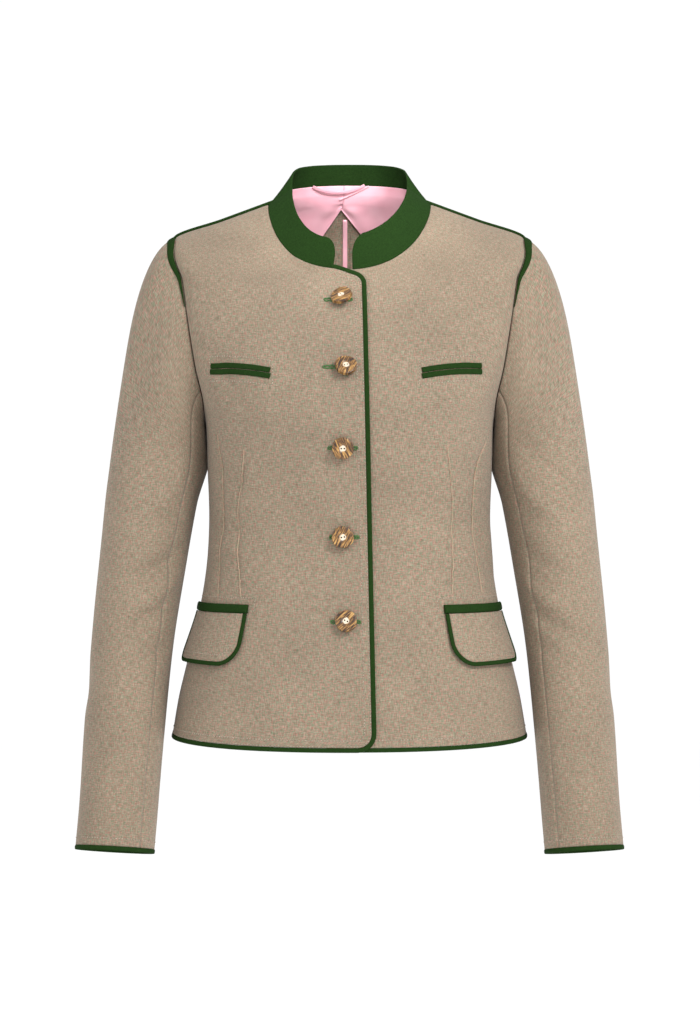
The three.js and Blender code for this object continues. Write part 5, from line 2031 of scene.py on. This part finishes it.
@dataclass
class Inside:
    """Half lining, hanger loop and the bound seam inside the back."""

    apex: tuple[float, float] = (-9.0, 2.0)
    side: tuple[float, float] = (126.0, -150.0)
    steep: float = 1.05
    gap: float = 1.6
    on_collar: float = 0.42
    forward: float = 26.0
    fold_x: tuple[float, float] = (-8.0, 17.0)
    fold_gap: float = 2.2
    fold_sag: float = 0.7
    binding_side: float = 4.8  # from the seam to the middle of the binding
    binding_top: tuple[float, float] = (-7.2, -9.0)

    def lining(self, side: str, mark: int) -> bpy.types.Object:
        """Half of the lining, from an edge low on the back to inside the collar.

        Args:
            side: right or left.
            mark: -1 for the right half, 1 for the left.

        Returns:
            The half lining.
        """
        columns = np.linspace(0, 1, 72)[None, :]
        apex = self.apex[0] + mark * 0.1
        x = lerp(apex, mark * self.side[0], columns)
        z = lerp(self.apex[1], self.side[1], 1 - (1 - columns) ** self.steep)
        low_t, low_at = TORSO.seen(x, z, True)
        start = TORSO.seen(np.array([[apex]]), np.array([[0.0]]), True)[0]
        high_t = lerp(start, math.pi - mark * math.radians(80), columns)
        v = np.linspace(0, 1, 60)[:, None]
        bend = -mark * math.radians(self.forward) * columns
        t, at = lerp(low_t, high_t, v) + bend * v**5, lerp(low_at, NECK_AT - 0.8, v)
        soft = 1.1 * np.sin(columns * 17 + v * 4 + mark) * np.sin(math.pi * v) ** 0.7
        soft = soft + 0.6 * np.sin(columns * 29 - v * 7) * np.sin(math.pi * v)
        edge = 0.9 * np.exp(-((v * 60 / 4.0) ** 2)) * np.ones_like(columns)
        under = -WALL - self.gap + soft * 0.9 - edge * 0.4

        def both(depth: float) -> Array:
            """One face of the lining, over the back and the collar."""
            back = TORSO.over(t, at, under - depth)
            w = np.linspace(0.12, 1, 16)[:, None]
            top = COLLAR.over(
                high_t + bend * np.ones_like(w), self.on_collar * w,
                -FELT - self.gap - depth + 0 * columns * w,
            )
            return softened(np.concatenate([back, top]), 4)

        outer, inner = both(0.0), both(SATIN)
        uv = np.stack([lengths(outer, 1), lengths(outer, 0)], -1)
        piece = shell(f"lining_{side}_satin", outer, inner, uv)
        return dress(piece, SATIN_CLOTH, Slot.SATIN, f"lining_{side}")

    def hanger(self) -> None:
        """Loop of folded satin between its two sewn ends."""
        u = np.linspace(-1, 1, 60)
        t = math.pi - np.arcsin((-9.5 + 23 * u) / COLLAR_TOP["W"])
        v = 0.44 - 0.2 * (1 - u * u)
        depth = FELT + 1.9 + SATIN + 0.35 + 3 * (1 - u**4)
        line = COLLAR.over(t, v, -depth)
        stations = Stations.along(line, -COLLAR.normal(t, v))
        piece = band("hanger_loop_satin", stations, (-1.6, 1.6), (0, 0.7))
        # the loop's darker satin is partly its own deeper pink, partly painted shade
        dress(piece, LOOP_SATIN, Slot.SATIN, "hanger_loop")

    def fold(self) -> None:
        """Folded edge of the left half, which slants up over the right half at the neck."""
        u = np.linspace(0, 1, 50)
        t = math.pi - np.arcsin(lerp(*self.fold_x, u) / COLLAR_TOP["W"])
        v = lerp(0.03, self.on_collar, u)
        depth = FELT + self.fold_gap + SATIN + self.fold_sag * np.sin(math.pi * u)
        stations = Stations.along(COLLAR.over(t, v, -depth), -COLLAR.normal(t, v))
        piece = band("lining_fold_satin", stations, (-0.8, 0.8), (-0.6, 0.6))
        dress(piece, SATIN_CLOTH, Slot.SATIN)

    def binding(self) -> None:
        """Satin binding on the turning of the back seam."""
        top = TORSO.seen(*np.array(self.binding_top)[:, None], True)[1][0]
        at = np.linspace(-540, top, 220)
        t = math.pi + self.binding_side / TORSO_RINGS.at(at)["W"]
        stations = Stations.along(TORSO.over(t, at, -WALL - 0.55), -TORSO.normal(t, at))
        piece = band("back_seam_binding_satin", stations, (-2.4, 2.4), (-0.4, 0.9))
        dress(piece, SATIN_CLOTH, Slot.SATIN, "back_seam_binding")

    def build(self) -> dict[str, bpy.types.Object]:
        """Makes all that lies inside the back.

        Returns:
            The halves of the lining by name.
        """
        made = {side: self.lining(side, mark) for side, mark in (("right", -1), ("left", 1))}
        self.hanger()
        self.fold()
        self.binding()
        return made


# ---------------------------------------------------------------- studio


@dataclass
class Studio:
    """Pale floor, soft light from all sides and the camera."""

    camera_at: tuple[float, float, float] = (0.0005, -3.0, -0.3188)
    lens: float = 101.7
    floor_at: float = -1.3
    sky: float = 1.02
    key: tuple = ((1.7, -2.3, 1.5), 1.1, 85)  # place, size and power
    fill: tuple = ((-2.0, -2.2, 0.4), 1.8, 12)
    lamps_aim: tuple[float, float, float] = (0, 0, -0.3)
    neck_lamp_at: tuple[float, float, float] = (0.1, -1.3, 0.62)
    neck_lamp_aim: tuple[float, float, float] = (0, 0.07, -0.05)
    neck_lamp_power: float = 125
    neck_lamp_cone: float = 9  # degrees

    def lamp(self, name: str, at: tuple[float, float, float], size: float, power: float) -> None:
        """Adds a large soft lamp that faces the jacket.

        Args:
            name: name of the lamp.
            at: where it stands.
            size: width of its face.
            power: its light, in watts.
        """
        bpy.ops.object.light_add(type="AREA", location=at)
        lamp = bpy.context.active_object
        lamp.name = name
        lamp.data.size, lamp.data.energy = size, power
        lamp.rotation_euler = (Vector(self.lamps_aim) - Vector(at)).to_track_quat("-Z", "Y").to_euler()

    def neck_lamp(self) -> None:
        """Adds a soft narrow lamp that reaches the lining through the neck."""
        bpy.ops.object.light_add(type="SPOT", location=self.neck_lamp_at)
        lamp = bpy.context.active_object
        lamp.name = "neck_lamp"
        lamp.data.energy, lamp.data.shadow_soft_size = self.neck_lamp_power, 0.1
        lamp.data.spot_size, lamp.data.spot_blend = math.radians(self.neck_lamp_cone), 1.0
        aim = Vector(self.neck_lamp_aim) - lamp.location
        lamp.rotation_euler = aim.to_track_quat("-Z", "Y").to_euler()

    def build(self) -> None:
        """Sets up world, lamps, floor and camera."""
        scene = bpy.context.scene
        scene.view_settings.view_transform = "Standard"
        world = scene.world or bpy.data.worlds.new("studio")
        scene.world = world
        world.use_nodes = True
        world.node_tree.nodes["Background"].inputs["Color"].default_value = (1, 1, 1, 1)
        world.node_tree.nodes["Background"].inputs["Strength"].default_value = self.sky
        self.lamp("key", *self.key)
        self.lamp("fill", *self.fill)
        self.neck_lamp()
        bpy.ops.object.select_all(action="DESELECT")
        bpy.ops.mesh.primitive_plane_add(size=14, location=(0, 2, self.floor_at))
        floor = bpy.context.active_object
        floor.name = "floor"
        floor.data.materials.append(Paper().material())
        camera = bpy.data.objects.new("camera", bpy.data.cameras.new("camera"))
        scene.collection.objects.link(camera)
        camera.location = self.camera_at
        camera.rotation_euler = (math.pi / 2, 0, 0)
        camera.data.lens, camera.data.sensor_width = self.lens, 36
        scene.camera = camera


# ---------------------------------------------------------------- cuts


@dataclass(frozen=True)
class Cut:
    """Flat size of the cloth of one sheet, in metres, as far as it shows, and what is sewn to it."""

    piece: str
    width: float
    length: float
    area: float
    hangs_from: tuple[str, ...] = ()
    sewn_on: tuple[str, ...] = ()

    def declare(self) -> None:
        LOG.info("%s: cut %.0f x %.0f mm", self.piece, self.width * 1000, self.length * 1000)


def cuts() -> list[Cut]:
    """The cut of every sheet of cloth in the jacket.

    Returns:
        The cuts, body first.
    """
    made = [
        Cut("front_right_cloth", 0.27, 0.60, 0.122, ("back_right_cloth",), (
            "edge_piping_right_felt", "shoulder_piping_right_felt", "body_topstitching",
            "pocket_topstitching", "dart_edge_front_1", "dart_edge_front_2", "chest_welt_upper_right_felt",
            "chest_welt_lower_right_felt", "hip_welt_right_felt", *(f"buttonhole_{i}" for i in range(1, 6)),
        )),
        Cut("front_left_cloth", 0.28, 0.60, 0.126, ("back_left_cloth",), (
            "hem_piping_left_felt", "shoulder_piping_left_felt", "dart_edge_front_3", "dart_edge_front_4",
            "chest_welt_upper_left_felt", "chest_welt_lower_left_felt", "hip_welt_left_felt",
        )),
        Cut("back_right_cloth", 0.24, 0.61, 0.117, ("collar_felt",), (
            "hem_piping_back_felt", "dart_edge_back_1", "back_seam_binding_satin",
        )),
        Cut("back_left_cloth", 0.24, 0.61, 0.117, ("collar_felt",), ("dart_edge_back_2",)),
        Cut("collar_felt", 0.42, 0.055, 0.0165),
    ]
    for side in ("right", "left"):
        made.append(Cut(f"top_sleeve_{side}_cloth", 0.26, 0.66, 0.121, (f"front_{side}_cloth",), (
            f"armhole_insert_{side}_felt", f"cuff_piping_{side}_felt",
        )))
        made.append(Cut(f"under_sleeve_{side}_cloth", 0.12, 0.51, 0.042, (f"back_{side}_cloth",)))
        made.append(Cut(f"flap_{side}_cloth", 0.108, 0.05, 0.005, (f"front_{side}_cloth",), (
            f"flap_piping_{side}_felt",
        )))
    made.append(Cut("lining_right_satin", 0.20, 0.19, 0.0234, ("collar_felt",)))
    made.append(Cut("lining_left_satin", 0.21, 0.20, 0.0255, ("collar_felt",), (
        "hanger_loop_satin", "lining_fold_satin",
    )))
    return made


def main() -> None:
    """Builds the jacket in its order of making, and reports each piece."""
    logging.basicConfig(level=logging.INFO, format="%(name)s: %(message)s")
    Studio().build()
    body = Body()
    body.build()
    body.pipings()
    body.stitching()
    body.dart_edges()
    Sleeves().build()
    StandCollar().make()
    Pockets(body).build()
    Buttons(body).build()
    Inside().build()
    for cut in cuts():
        cut.declare()


if __name__ == "__main__":
    main()
